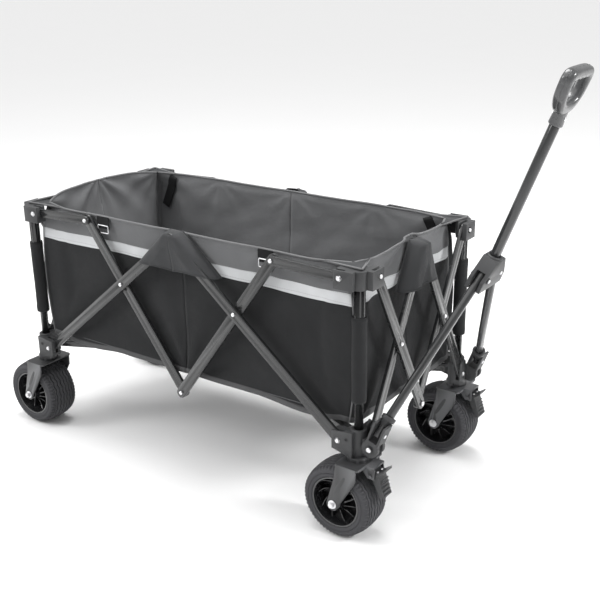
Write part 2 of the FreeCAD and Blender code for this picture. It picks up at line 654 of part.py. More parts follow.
def wheel():
    """Tyre and rim about the swivel axis at x = 0, y = 0."""
    half = WHEEL_WIDTH / 2
    shoulder = half - TYRE_SHOULDER_INSET
    edge_radius = WHEEL_RADIUS - TYRE_CROWN
    outline = [
        (RIM_RADIUS, -RIM_WIDTH / 2),
        (RIM_RADIUS + 4, -half + 1),
        (WHEEL_RADIUS - TYRE_SIDE_DROP, -half),
        (edge_radius, -shoulder),
        (edge_radius, shoulder),
        (WHEEL_RADIUS - TYRE_SIDE_DROP, half),
        (RIM_RADIUS + 4, half - 1),
        (RIM_RADIUS, RIM_WIDTH / 2),
    ]
    tyre = revolved(outline, {3: (WHEEL_RADIUS, 0)})
    barrel = tube(point(0, -RIM_WIDTH / 2, 0), Y_AXIS, 2 * RIM_RADIUS, RIM_WALL, RIM_WIDTH)
    web = cylinder(point(0, -RIM_WEB / 2, 0), Y_AXIS, RIM_RADIUS - RIM_WALL, RIM_WEB)
    hub = cylinder(point(0, -RIM_HUB_WIDTH / 2, 0), Y_AXIS, RIM_HUB_RADIUS, RIM_HUB_WIDTH)
    ribs = []
    for i in range(SPOKE_COUNT):
        rib = box(
            (RIM_HUB_RADIUS - 2, RIM_RADIUS - RIM_WALL + 1),
            (-SPOKE_WIDTH / 2, SPOKE_WIDTH / 2),
            (-SPOKE_THICKNESS / 2, SPOKE_THICKNESS / 2),
        )
        rib.rotate(point(0, 0, 0), Y_AXIS, 360 / SPOKE_COUNT * i)
        ribs.append(rib)
    rim = barrel.fuse([web, hub] + ribs)
    bore = AXLE_RADIUS + RUNNING_CLEARANCE
    rim = rim.cut(cylinder(point(0, -RIM_HUB_WIDTH / 2, 0), Y_AXIS, bore, RIM_HUB_WIDTH))
    axle = point(-WHEEL_TRAIL, 0, AXLE_Z)
    for shape in (tyre, rim):
        shape.translate(axle)
    return [tyre], [rim]


def floor_strut():
    """Inverted channel from the lower bracket to the floor hub, for the front left corner."""
    towards = point(-STRUT_PIVOT_X, -STRUT_PIVOT_Y, 0).normalize()
    full = STRUT_LENGTH + 2 * STRUT_END
    low = -STRUT_HEIGHT / 2
    outside = box((-STRUT_END, STRUT_LENGTH + STRUT_END), (-STRUT_WIDTH / 2, STRUT_WIDTH / 2), (low, -low))
    half = STRUT_WIDTH / 2 - STRUT_WALL
    inside = box((-STRUT_END - 1, full), (-half, half), (low - 1, -low - STRUT_WALL))
    relief = box((-STRUT_END - 1, 2 * STRUT_END), (-half, half), (low - 1, -low + 1))
    hole = STRUT_PIN_RADIUS + RUNNING_CLEARANCE
    bore = cylinder(point(0, -STRUT_WIDTH / 2, 0), Y_AXIS, hole, STRUT_WIDTH)
    strut = outside.cut(inside).cut(relief).cut(bore)
    return [oriented(strut, point(STRUT_PIVOT_X, STRUT_PIVOT_Y, LOW_PIVOT_Z), towards, Z_AXIS)]


def floor_hub():
    """Pressed cross under the floor, with an open channel for each strut's inner end."""
    floor_z = LOW_PIVOT_Z - STRUT_HEIGHT / 2 - HUB_GAP - HUB_THICKNESS
    disc = cylinder(point(0, 0, floor_z), Z_AXIS, HUB_DISC_RADIUS, HUB_THICKNESS)
    solids = [disc]
    inner = STRUT_WIDTH / 2 + HUB_GAP
    outer = inner + HUB_THICKNESS
    height = STRUT_HEIGHT + HUB_GAP + HUB_THICKNESS
    for name, sx, sy in CORNERS:
        away = point(sx * STRUT_PIVOT_X, sy * STRUT_PIVOT_Y, 0).normalize()
        base = box((0, HUB_ARM_RADIUS), (-outer, outer), (0, HUB_THICKNESS))
        cheeks = [
            box((HUB_DISC_RADIUS + 14, HUB_ARM_RADIUS), (inner, outer), (0, height)),
            box((HUB_DISC_RADIUS + 14, HUB_ARM_RADIUS), (-outer, -inner), (0, height)),
        ]
        arm = base.fuse(cheeks)
        solids.append(oriented(arm, point(0, 0, floor_z), away, Z_AXIS))
    return [solids[0].fuse(solids[1:])]


def basket():
    """Open fabric tub with cut corners that stay clear of the posts."""
    solids = []
    for inset, low in ((0, BASKET_BOTTOM), (BASKET_WALL, BASKET_BOTTOM + BASKET_FLOOR)):
        x, y = BASKET_HALF_LENGTH - inset, BASKET_HALF_WIDTH - inset
        cut_x, cut_y = POST_X - BASKET_CORNER_X - inset / 2, POST_Y - BASKET_CORNER_Y - inset / 2
        left = [(x, -cut_y), (x, cut_y), (cut_x, y), (-cut_x, y)]
        outline = left + [(-px, -py) for px, py in left]
        solids.append(prism([point(px, py, low) for px, py in outline], point(0, 0, BASKET_TOP - low)))
    return [solids[0].cut(solids[1])]


def leaned(shape):
    """Leans a piece of the handle forward about the handle's pivot."""
    shape = shape.copy()
    shape.rotate(point(HANDLE_X, 0, HANDLE_PIVOT_Z), Y_AXIS, HANDLE_LEAN)
    return shape


def on_handle(y, height):
    """A point in the handle's upright plane, at a height above its pivot."""
    return point(HANDLE_X, y, HANDLE_PIVOT_Z + height)


def knuckle():
    """Fork-shaped knuckle on the left end of the handle's pivot."""
    start = on_handle(KNUCKLE_Y - KNUCKLE_WIDTH / 2, 0)
    boss = cylinder(start, Y_AXIS, KNUCKLE_RADIUS, KNUCKLE_WIDTH)
    half = KNUCKLE_DEPTH / 2
    y = (KNUCKLE_Y - KNUCKLE_WIDTH / 2, KNUCKLE_Y + KNUCKLE_WIDTH / 2)
    body = box((HANDLE_X - half, HANDLE_X + half), y, (HANDLE_PIVOT_Z, HANDLE_PIVOT_Z + KNUCKLE_TOP))
    body = body.fuse(boss)
    room = KNUCKLE_WIDTH / 2 - KNUCKLE_CHEEK
    lug_room = KNUCKLE_RADIUS + 2
    body = body.cut(
        box(
            (HANDLE_X - lug_room - 2, HANDLE_X + lug_room),
            (KNUCKLE_Y - room, KNUCKLE_Y + room),
            (HANDLE_PIVOT_Z - lug_room, HANDLE_PIVOT_Z + LUG_RADIUS + 2),
        )
    )
    slot = KNUCKLE_SLOT / 2
    slot_floor = HANDLE_PIVOT_Z + LEG_PIVOT_HEIGHT - LEG_DIAMETER / 2 - LEG_END - 1
    slot_top = HANDLE_PIVOT_Z + KNUCKLE_TOP + 1
    body = body.cut(box((HANDLE_X - slot, HANDLE_X + slot), (0, 2 * POST_Y), (slot_floor, slot_top)))
    body = body.cut(cylinder(start, Y_AXIS, RIVET_RADIUS + RUNNING_CLEARANCE, KNUCKLE_WIDTH))
    pin_start = on_handle(KNUCKLE_Y, LEG_PIVOT_HEIGHT).sub(X_AXIS * half)
    pin = cylinder(pin_start, X_AXIS, LEG_PIN_RADIUS, KNUCKLE_DEPTH)
    return [body.fuse(pin)]


def handle_leg():
    """Left leg of the handle, from its knuckle to the junction."""
    low = on_handle(KNUCKLE_Y, LEG_PIVOT_HEIGHT)
    high = on_handle(JUNCTION_PIVOT_Y, JUNCTION_PIVOT_HEIGHT)
    along = high.sub(low)
    length = along.Length
    along.normalize()
    leg = tube(low.sub(along * LEG_END), along, LEG_DIAMETER, LEG_WALL, length + 2 * LEG_END)
    for pivot in (low, high):
        start = pivot.sub(X_AXIS * LEG_DIAMETER)
        leg = leg.cut(cylinder(start, X_AXIS, LEG_PIN_RADIUS + RUNNING_CLEARANCE, 2 * LEG_DIAMETER))
    return [leg]


def handle_junction():
    """Block that joins the two legs and the draw tube."""
    outline = [
        (-JUNCTION_HALF_WIDTH, JUNCTION_BOTTOM),
        (JUNCTION_HALF_WIDTH, JUNCTION_BOTTOM),
        (JUNCTION_HALF_WIDTH, JUNCTION_SHOULDER),
        (JUNCTION_TOP_HALF_WIDTH, JUNCTION_TOP),
        (-JUNCTION_TOP_HALF_WIDTH, JUNCTION_TOP),
        (-JUNCTION_HALF_WIDTH, JUNCTION_SHOULDER),
    ]
    half = JUNCTION_DEPTH / 2
    body = prism([on_handle(y, h).sub(X_AXIS * half) for y, h in outline], X_AXIS * JUNCTION_DEPTH)
    slot = KNUCKLE_SLOT / 2
    slot_top = JUNCTION_PIVOT_HEIGHT + LEG_END + 5
    body = body.cut(
        box(
            (HANDLE_X - slot, HANDLE_X + slot),
            (-2 * JUNCTION_HALF_WIDTH, 2 * JUNCTION_HALF_WIDTH),
            (HANDLE_PIVOT_Z, HANDLE_PIVOT_Z + slot_top),
        )
    )
    socket = on_handle(0, JUNCTION_TOP - DRAW_TUBE_INSERTION)
    body = body.cut(cylinder(socket, Z_AXIS, DRAW_TUBE_DIAMETER / 2, DRAW_TUBE_INSERTION))
    left = on_handle(JUNCTION_PIVOT_Y, JUNCTION_PIVOT_HEIGHT).sub(X_AXIS * half)
    pin = cylinder(left, X_AXIS, LEG_PIN_RADIUS, JUNCTION_DEPTH)
    right = on_handle(-JUNCTION_PIVOT_Y, JUNCTION_PIVOT_HEIGHT)
    heads = []
    for side in (-1, 1):
        seat = right.add(X_AXIS * (side * half))
        heads.append(rivet(seat, X_AXIS * side, half - slot))
    return [body.fuse([pin] + heads)]


def draw_tube():
    start = JUNCTION_TOP - DRAW_TUBE_INSERTION
    length = GRIP_BOTTOM + GRIP_INSERTION - start
    return [tube(on_handle(0, start), Z_AXIS, DRAW_TUBE_DIAMETER, DRAW_TUBE_WALL, length)]


def rounded_loop(bottom_half, bottom, top_half, shoulder, top, corner):
    """Outline of the grip or its hole: a tapering shape with two round upper corners, as a face."""
    bow = corner * (1 - math.sqrt(0.5))
    marks = [
        (-bottom_half, bottom),
        (bottom_half, bottom),
        (top_half, shoulder),
        (top_half - corner, top),
        (corner - top_half, top),
        (-top_half, shoulder),
    ]
    middles = {2: (top_half - bow, top - bow * (top - shoulder) / corner)}
    middles[4] = (-middles[2][0], middles[2][1])
    edges = []
    for i, mark in enumerate(marks):
        start = on_handle(*mark)
        end = on_handle(*marks[(i + 1) % len(marks)])
        if i in middles:
            edges.append(Part.Arc(start, on_handle(*middles[i]), end).toShape())
        else:
            edges.append(Part.LineSegment(start, end).toShape())
    return Part.Face(Part.Wire(edges))


def grip():
    """Closed loop grip on the end of the draw tube."""
    back = X_AXIS * (-GRIP_THICKNESS / 2)
    through = X_AXIS * GRIP_THICKNESS
    shoulder = GRIP_TOP - 34
    outer = rounded_loop(GRIP_NECK_RADIUS, GRIP_BOTTOM + 12, GRIP_HALF_WIDTH, shoulder, GRIP_TOP, GRIP_CORNER)
    body = outer.translated(back).extrude(through)
    flat_edges = []
    for edge in body.Edges:
        if abs(abs(edge.BoundBox.Center.x - HANDLE_X) - GRIP_THICKNESS / 2) < 0.1:
            flat_edges.append(edge)
    body = body.makeFillet(GRIP_EDGE, flat_edges)
    hole_half = GRIP_HALF_WIDTH - GRIP_SIDE
    hole_top = GRIP_TOP - GRIP_BAR
    hole = rounded_loop(12, GRIP_HOLE_BOTTOM, hole_half, hole_top - 18, hole_top, 14)
    body = body.cut(hole.translated(back * 2).extrude(through * 2))
    neck = cylinder(on_handle(0, GRIP_BOTTOM), Z_AXIS, GRIP_NECK_RADIUS, GRIP_INSERTION + 6)
    body = body.fuse(neck)
    return [body.cut(cylinder(on_handle(0, GRIP_BOTTOM), Z_AXIS, DRAW_TUBE_DIAMETER / 2, GRIP_INSERTION))]


def all_nodes():
    """Every piece of the wagon, by name, as a list of solids."""
    nodes = {"basket": basket(), "floor_hub": floor_hub()}
    for name, sx, sy in CORNERS:
        pieces = {"corner_bracket": corner_bracket(sx, sy), "top_post": top_post(sx, sy)}
        pieces.update(side_bars(sx))
        pieces.update(end_bars(sy))
        pieces["floor_strut"] = floor_strut()
        for piece, solids in pieces.items():
            nodes[piece + "_" + name] = [reflected(solid, sx, sy) for solid in solids]
        swivel = point(sx * POST_X, sy * POST_Y, 0)
        tyre, rim = wheel()
        running_gear = {"fork": fork(sx > 0), "tyre": tyre, "rim": rim}
        if sx > 0:
            running_gear["brake"] = brake()
        for piece, solids in running_gear.items():
            nodes[piece + "_" + name] = [solid.translated(swivel) for solid in solids]
    nodes["end_pivot_front"] = end_pivot()
    nodes["end_pivot_rear"] = [reflected(solid, -1, 1) for solid in end_pivot()]
    for side, sy in (("left", 1), ("right", -1)):
        for piece, solids in (("handle_knuckle", knuckle()), ("handle_leg", handle_leg())):
            nodes[piece + "_" + side] = [reflected(leaned(solid), 1, sy) for solid in solids]
    middle_pieces = {"handle_junction": handle_junction(), "draw_tube": draw_tube(), "grip": grip()}
    for piece, solids in middle_pieces.items():
        nodes[piece] = [leaned(solid) for solid in solids]
    return nodes


def middle_of(nodes):
    """Middle of the whole object along the wagon."""
    front = max(solid.optimalBoundingBox(True, False).XMax for solid in nodes["grip"])
    rear = -POST_X - WHEEL_TRAIL - WHEEL_RADIUS
    return (front + rear) / 2


NODES = all_nodes()
MIDDLE_X = middle_of(NODES)
os.makedirs("parts", exist_ok=True)
for node, solids in NODES.items():
    shape = Part.makeCompound(solids) if len(solids) > 1 else solids[0]
    shape.translated(point(-MIDDLE_X, 0, -GROUND_Z)).exportStep("parts/" + node + ".step")
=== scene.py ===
import json
import math
from functools import partial

import bmesh
import bpy
from bpy.props import FloatProperty, FloatVectorProperty, IntProperty, PointerProperty
from mathutils import Matrix, Vector, noise

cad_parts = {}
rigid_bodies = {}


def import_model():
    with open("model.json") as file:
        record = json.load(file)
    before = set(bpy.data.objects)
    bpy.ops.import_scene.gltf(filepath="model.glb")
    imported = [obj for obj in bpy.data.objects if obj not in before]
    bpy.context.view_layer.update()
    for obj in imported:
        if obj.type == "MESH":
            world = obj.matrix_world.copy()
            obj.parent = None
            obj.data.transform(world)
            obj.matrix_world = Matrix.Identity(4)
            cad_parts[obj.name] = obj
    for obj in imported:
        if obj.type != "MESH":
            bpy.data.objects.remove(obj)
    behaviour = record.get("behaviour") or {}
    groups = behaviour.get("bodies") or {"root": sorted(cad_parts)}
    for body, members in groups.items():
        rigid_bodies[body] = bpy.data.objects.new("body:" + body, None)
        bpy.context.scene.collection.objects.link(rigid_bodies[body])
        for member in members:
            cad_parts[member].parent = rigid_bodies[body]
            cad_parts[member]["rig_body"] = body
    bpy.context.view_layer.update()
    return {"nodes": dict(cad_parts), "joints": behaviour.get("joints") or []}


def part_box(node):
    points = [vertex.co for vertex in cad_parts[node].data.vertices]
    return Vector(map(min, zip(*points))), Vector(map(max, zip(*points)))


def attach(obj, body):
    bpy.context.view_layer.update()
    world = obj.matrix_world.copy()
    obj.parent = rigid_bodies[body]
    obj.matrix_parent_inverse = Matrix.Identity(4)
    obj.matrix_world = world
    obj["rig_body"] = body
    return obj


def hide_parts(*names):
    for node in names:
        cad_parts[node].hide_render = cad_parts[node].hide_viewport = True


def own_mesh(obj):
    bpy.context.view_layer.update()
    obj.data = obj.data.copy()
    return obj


bl_info = {
    "name": "Folding wagon",
    "version": (1, 0, 0),
    "blender": (4, 5, 0),
    "location": "3D View > Sidebar > Wagon",
    "description": "Builds the looks of a folding wagon with a pull handle around its packed frame",
    "category": "Object",
}

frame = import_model()

# Metres.  +X points forward, to the handle; +Y points left; +Z is up.
CORNERS = {"front_left": (1, 1), "front_right": (1, -1), "rear_left": (-1, 1), "rear_right": (-1, -1)}
FORWARD = Vector((1, 0, 0))
LEFT = Vector((0, 1, 0))
UP = Vector((0, 0, 1))


def joint(name):
    """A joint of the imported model."""
    return next(each for each in frame["joints"] if each["name"] == name)


def joint_place(name):
    """Where a joint's axis stands at rest."""
    return Vector(joint(name)["pos_m"])


HALF_BAR = 0.0125           # half the width of a pressed bar
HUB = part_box("floor_hub")
MIDDLE = (HUB[0].x + HUB[1].x) / 2
TUB_LOW, TUB_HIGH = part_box("basket")
TUB_LENGTH = (TUB_HIGH.x - TUB_LOW.x) / 2
TUB_WIDTH = TUB_HIGH.y
POST_X = joint_place("caster_swivel_front_left").x - MIDDLE
POST_Y = joint_place("caster_swivel_front_left").y
LOW_PIVOT = joint_place("side_bar_turn_front_left")
APEX_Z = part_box("side_bar_front_left")[1].z - HALF_BAR
END_APEX_Z = 0.576          # where the end bars meet at the top
FOLD_TRAVEL = joint("fold")["range_m"][1]
NARROW_TRAVEL = joint("narrow_front_left")["range_m"][1]
HANDLE_PIVOT = joint_place("handle_swing")
LEG_FOOT = joint_place("leg_splay_left")
LEG_HEAD = joint_place("junction_turn")
HANDLE_UP = Vector((LEG_HEAD.x - LEG_FOOT.x, 0, LEG_HEAD.z - LEG_FOOT.z)).normalized()
HANDLE_FRONT = LEFT.cross(HANDLE_UP)

# Where the soft walls end, beside the corner posts
LONG_WALL_END = 0.440
SHORT_WALL_END = 0.190

# What is left of a soft piece's width when the wagon is folded
LONG_KEEP = 1 - FOLD_TRAVEL / LONG_WALL_END
SHORT_KEEP = 1 - NARROW_TRAVEL / SHORT_WALL_END


def spot(x, y, z):
    """A point given from the middle of the wagon, on the floor."""
    return Vector((MIDDLE + x, y, z))


def on_handle(y, height, out=0.0):
    """A point on the leaning handle: across, up from its pivot, and out of its plane."""
    foot = Vector((HANDLE_PIVOT.x, 0, HANDLE_PIVOT.z))
    return foot + LEFT * y + HANDLE_UP * height + HANDLE_FRONT * out


class PaintProps(bpy.types.PropertyGroup):
    """Colours of the steel and plastic."""
    steel: FloatVectorProperty(
        name="Steel", description="Powder coat of the bars and posts",
        subtype="COLOR", default=(0.020, 0.0205, 0.0212))
    fork: FloatVectorProperty(
        name="Forks", description="Powder coat of the wheel forks",
        subtype="COLOR", default=(0.034, 0.0345, 0.036))
    plastic: FloatVectorProperty(
        name="Brackets", description="Moulded corner brackets",
        subtype="COLOR", default=(0.040, 0.0407, 0.042))
    rim: FloatVectorProperty(
        name="Rims", description="Glossy wheel rims",
        subtype="COLOR", default=(0.010, 0.010, 0.011))
    rubber: FloatVectorProperty(
        name="Tyres", description="Rubber of the tyres",
        subtype="COLOR", default=(0.125, 0.1265, 0.129))
    zinc: FloatVectorProperty(
        name="Rivets", description="Bright plated rivets and bolts",
        subtype="COLOR", default=(0.62, 0.62, 0.63))


class ClothProps(bpy.types.PropertyGroup):
    """Colours and sizes of the fabric."""
    band: FloatVectorProperty(
        name="Upper band", description="Grey band under the rim",
        subtype="COLOR", default=(0.150, 0.152, 0.156))
    lower: FloatVectorProperty(
        name="Lower wall", description="Dark lower wall",
        subtype="COLOR", default=(0.022, 0.0225, 0.0235))
    stripe: FloatVectorProperty(
        name="Stripe", description="Reflective stripe",
        subtype="COLOR", default=(0.52, 0.53, 0.54))
    lining: FloatVectorProperty(
        name="Lining", description="Inside of the basket",
        subtype="COLOR", default=(0.150, 0.152, 0.156))
    flap: FloatVectorProperty(
        name="Flaps", description="Covers over the tops of the crossed bars",
        subtype="COLOR", default=(0.050, 0.051, 0.053))
    piping: FloatVectorProperty(
        name="Piping", description="Piping along the rim",
        subtype="COLOR", default=(0.15, 0.151, 0.154))
    webbing: FloatVectorProperty(
        name="Webbing", description="Straps",
        subtype="COLOR", default=(0.012, 0.0122, 0.0128))
    thread: FloatProperty(
        name="Thread pitch", description="From one thread of the cloth to the next", unit="LENGTH",
        default=0.0011)
    thickness: FloatProperty(
        name="Thickness", description="Coated cloth with its lining", unit="LENGTH", default=0.0012)
    stripe_low: FloatProperty(
        name="Stripe low", description="Lower edge of the stripe", unit="LENGTH", default=0.509)
    stripe_high: FloatProperty(
        name="Stripe high", description="Upper edge of the stripe", unit="LENGTH", default=0.535)
    rim_height: FloatProperty(
        name="Rim", description="Height of the basket's rim", unit="LENGTH", default=0.593)
    hem: FloatProperty(
        name="Hem", description="Height of the binding along the bottom", unit="LENGTH", default=0.013)


class WheelProps(bpy.types.PropertyGroup):
    """Pattern of the tyres and rims."""
    lugs: IntProperty(name="Lugs", description="Shoulder lugs round a tyre", default=54)
    grooves: IntProperty(name="Grooves", description="Grooves round the tread", default=6)
    waves: IntProperty(name="Waves", description="Waves in a groove round the tyre", default=27)
    groove_depth: FloatProperty(
        name="Groove depth", description="Depth of the tread", unit="LENGTH", default=0.0036)
    spokes: IntProperty(name="Spokes", description="Curved spokes of a rim", default=10)


class StageProps(bpy.types.PropertyGroup):
    """Camera and lights."""
    lens: FloatProperty(name="Lens", description="Focal length", unit="CAMERA", default=59.39)
    azimuth: FloatProperty(
        name="Azimuth", description="Camera round the wagon", subtype="ANGLE",
        default=math.radians(35.758))
    elevation: FloatProperty(
        name="Elevation", description="Camera above the floor", subtype="ANGLE",
        default=math.radians(19.909))
    roll: FloatProperty(
        name="Roll", description="Camera tilt", subtype="ANGLE", default=math.radians(-0.873))
    floor: FloatVectorProperty(
        name="Floor", description="Pale floor", subtype="COLOR", default=(0.9, 0.9, 0.9))


class WagonProps(bpy.types.PropertyGroup):
    """Everything that can be changed."""
    paint: PointerProperty(type=PaintProps)
    cloth: PointerProperty(type=ClothProps)
    wheels: PointerProperty(type=WheelProps)
    stage: PointerProperty(type=StageProps)


def props():
    """The settings of this scene."""
    return bpy.context.scene.wagon


# Materials

class Term:
    """An output socket that can be used in a sum."""

    def __init__(self, finish, socket):
        self.finish = finish
        self.socket = socket

    def _sum(self, operation, *terms):
        return self.finish.node("ShaderNodeMath", {"operation": operation}, dict(enumerate(terms)))

    def __add__(self, other):
        return self._sum("ADD", self, other)

    __radd__ = __add__

    def __sub__(self, other):
        return self._sum("SUBTRACT", self, other)

    def __rsub__(self, other):
        return self._sum("SUBTRACT", other, self)

    def __mul__(self, other):
        return self._sum("MULTIPLY", self, other)

    __rmul__ = __mul__

    def sine(self):
        return self._sum("SINE", self)

    def size(self):
        return self._sum("ABSOLUTE", self)

    def below(self, other):
        return self._sum("LESS_THAN", self, other)


class Finish:
    """A material being put together round its Principled shader."""

    def __init__(self, name, **constants):
        self.material = bpy.data.materials.new(name)
        self.material.use_nodes = True
        self.tree = self.material.node_tree
        self.shader = self.tree.nodes["Principled BSDF"]
        for key, value in constants.items():
            self.shader.inputs[key.replace("_", " ")].default_value = value

    def node(self, kind, settings=None, inputs=None, output=0):
        """Any node: its settings first, then the values or links of its sockets."""
        node = self.tree.nodes.new(kind)
        for key, value in (settings or {}).items():
            if key == "stops":
                self.set_stops(node, value)
            else:
                setattr(node, key, value)
        for key, value in (inputs or {}).items():
            self.feed(node.inputs[key], value)
        return Term(self, node.outputs[output])

    def set_stops(self, node, stops):
        while len(node.color_ramp.elements) < len(stops):
            node.color_ramp.elements.new(0.5)
        for element, (place, shade) in zip(node.color_ramp.elements, stops):
            element.position = place
            element.color = (shade, shade, shade, 1)

    def feed(self, socket, value):
        if isinstance(value, Term):
            self.tree.links.new(value.socket, socket)
        else:
            socket.default_value = value

    def set(self, **values):
        for key, value in values.items():
            self.feed(self.shader.inputs[key.replace("_", " ")], value)

    def place(self):
        return self.node("ShaderNodeTexCoord", output="Object")

    def part(self, vector, axis):
        return self.node("ShaderNodeSeparateXYZ", inputs={0: vector}, output=axis)

    def noise(self, scale, detail):
        inputs = {"Scale": scale, "Detail": detail, "Vector": self.place()}
        return self.node("ShaderNodeTexNoise", inputs=inputs)

    def ramp(self, factor, low, high):
        """0 below low and 1 above high."""
        settings = {"stops": [(low, 0.0), (high, 1.0)]}
        return self.node("ShaderNodeValToRGB", settings, {"Fac": factor})

    def mix(self, factor, first, second):
        """One colour over another."""
        first = (*first, 1) if isinstance(first, tuple) else first
        second = (*second, 1) if isinstance(second, tuple) else second
        return self.node("ShaderNodeMix", {"data_type": "RGBA"}, {0: factor, 6: first, 7: second}, output=2)

    def edges(self, low, high):
        """How far a spot stands out as an edge: the mask for highlights painted along edges."""
        return self.ramp(self.node("ShaderNodeNewGeometry", output="Pointiness"), low, high)

    def bump(self, height, strength, distance):
        inputs = {"Height": height, "Strength": strength, "Distance": distance}
        self.set(Normal=self.node("ShaderNodeBump", inputs=inputs))

    def done(self):
        return self.material


def tint(colour, share):
    """A colour made lighter or darker."""
    return tuple(min(1.0, channel * share) for channel in colour)


def made_once(build):
    """Keeps one copy of each material."""
    def wanted():
        found = bpy.data.materials.get(build.__name__)
        return found or build()
    return wanted


def coated(name, colour, roughness, coat, grain):
    """Powder coat with its fine grain, faint dust, and a painted highlight along its edges."""
    finish = Finish(name, Metallic=0.0, Coat_Roughness=0.12, Specular_IOR_Level=0.3)
    mottle = finish.noise(22, 4)
    colour_now = finish.mix(finish.ramp(mottle, 0.35, 0.75), tint(colour, 0.88), tint(colour, 1.14))
    # Painted highlight: edges are mixed towards a colour five times lighter, for the light they catch.
    colour_now = finish.mix(finish.edges(0.54, 0.64) * 0.5, colour_now, tint(colour, 5.0))
    finish.set(Base_Color=colour_now)
    finish.set(Roughness=finish.noise(60, 2) * 0.05 + (roughness - 0.02))
    finish.set(Coat_Weight=finish.noise(40, 2) * 0.1 + coat)
    finish.bump(finish.noise(grain, 2), 0.06, 0.0002)
    return finish.done()


@made_once
def steel_coat():
    return coated("steel_coat", tuple(props().paint.steel), 0.26, 0.45, 900)


@made_once
def fork_coat():
    return coated("fork_coat", tuple(props().paint.fork), 0.38, 0.25, 800)


@made_once
def tube_gloss():
    return coated("tube_gloss", tint(tuple(props().paint.steel), 1.1), 0.22, 0.6, 1200)


@made_once
def bracket_nylon():
    """Moulded nylon with a fine spark texture and a painted highlight on its edges and corners."""
    finish = Finish("bracket_nylon", Specular_IOR_Level=0.3)
    base = tuple(props().paint.plastic)
    colour = finish.mix(finish.ramp(finish.noise(30, 4), 0.3, 0.8), tint(base, 0.9), tint(base, 1.15))
    # Painted highlight: edges and corners are lightened to stand for the light caught on them.
    colour = finish.mix(finish.edges(0.53, 0.64) * 0.45, colour, tint(base, 2.6))
    finish.set(Base_Color=colour, Roughness=finish.noise(220, 2) * 0.14 + 0.38)
    grain = finish.node("ShaderNodeTexVoronoi", inputs={"Scale": 1500, "Vector": finish.place()})
    finish.bump(grain, 0.10, 0.0002)
    return finish.done()


@made_once
def grip_gloss():
    """Smooth moulded grip, a little scuffed where the hand holds it."""
    finish = Finish("grip_gloss", Coat_Roughness=0.12)
    # Painted highlight: the grip is a lighter copy of the brackets' plastic, lifted to stand for the
    # highlight on it.
    base = tint(tuple(props().paint.plastic), 1.3)
    colour = finish.mix(finish.ramp(finish.noise(26, 4), 0.3, 0.8), tint(base, 0.88), tint(base, 1.2))
    finish.set(Base_Color=colour, Roughness=finish.noise(90, 4) * 0.2 + 0.2)
    finish.set(Coat_Weight=finish.noise(30, 2) * 0.2 + 0.4)
    finish.bump(finish.noise(700, 2), 0.05, 0.0002)
    return finish.done()


@made_once
def bright_zinc():
    """Plated steel with fine turning marks."""
    finish = Finish("bright_zinc", Metallic=1.0)
    base = tuple(props().paint.zinc)
    colour = finish.mix(finish.noise(180, 3), tint(base, 0.82), tint(base, 1.1))
    finish.set(Base_Color=colour, Roughness=finish.noise(500, 3) * 0.2 + 0.16)
    finish.bump(finish.noise(1400, 2), 0.08, 0.0002)
    return finish.done()


@made_once
def hole_painted_shade():
    """Painted shade inside a shallow screw hole."""
    finish = Finish("hole_painted_shade", Roughness=0.8)
    finish.set(Base_Color=finish.mix(finish.noise(300, 2), (0.004, 0.004, 0.004), (0.012, 0.012, 0.012)))
    return finish.done()


@made_once
def tyre_rubber():
    """Dusty moulded rubber, with a painted highlight along its edges."""
    finish = Finish("tyre_rubber", Specular_IOR_Level=0.2)
    base = tuple(props().paint.rubber)
    dust = finish.ramp(finish.noise(34, 6), 0.42, 0.75)
    colour = finish.mix(dust, tint(base, 0.85), tint(base, 1.18))
    # Painted highlight: edges are lightened to stand for the light they catch.
    colour = finish.mix(finish.edges(0.54, 0.68) * 0.3, colour, tint(base, 2.0))
    finish.set(Base_Color=colour, Roughness=finish.noise(120, 4) * 0.2 + 0.55)
    finish.bump(finish.noise(650, 4), 0.18, 0.0004)
    return finish.done()


@made_once
def rim_gloss():
    """Glossy black moulding, with a painted highlight along its edges."""
    finish = Finish("rim_gloss", Coat_Roughness=0.08)
    base = tuple(props().paint.rim)
    colour = finish.mix(finish.ramp(finish.noise(28, 4), 0.35, 0.8), base, tint(base, 1.8))
    # Painted highlight: edges are mixed towards a lighter grey for the light they catch.
    colour = finish.mix(finish.edges(0.53, 0.6) * 0.35, colour, (0.09, 0.09, 0.095))
    finish.set(Base_Color=colour, Roughness=finish.noise(80, 3) * 0.14 + 0.18)
    finish.set(Coat_Weight=finish.noise(30, 2) * 0.2 + 0.5)
    finish.bump(finish.noise(420, 2), 0.05, 0.0003)
    return finish.done()


def woven(name, colour, roughness=0.72, pitch=None, contrast=0.25, flat=False):
    """Woven cloth: warp and weft threads, faint creases and uneven dye."""
    finish = Finish(name, Sheen_Weight=0.06, Sheen_Roughness=0.4, Specular_IOR_Level=0.12)
    pitch = pitch or props().cloth.thread
    place = finish.place()
    along = finish.part(place, 0) + finish.part(place, 1)
    across = finish.part(place, 1) - finish.part(place, 0) if flat else finish.part(place, 2)
    turn = 2 * math.pi / pitch
    weave = (along * turn).sine() * (across * turn).sine()
    slub = finish.noise(300, 3)
    thread = weave * 0.5 + 0.5
    dye = finish.ramp(finish.noise(9, 5), 0.3, 0.75)
    colour_now = finish.mix(dye, tint(colour, 0.88), tint(colour, 1.12))
    colour_now = finish.mix(thread * contrast + slub * 0.12, colour_now, tint(colour, 0.55))
    finish.set(Base_Color=colour_now, Roughness=finish.noise(60, 3) * 0.16 + (roughness - 0.08))
    finish.bump(weave * 0.35 + slub * 0.5 + finish.noise(38, 5) * 5.0, 0.45, 0.0006)
    return finish.done()


@made_once
def band_cloth():
    return woven("band_cloth", tuple(props().cloth.band))


@made_once
def lower_cloth():
    return woven("lower_cloth", tuple(props().cloth.lower))


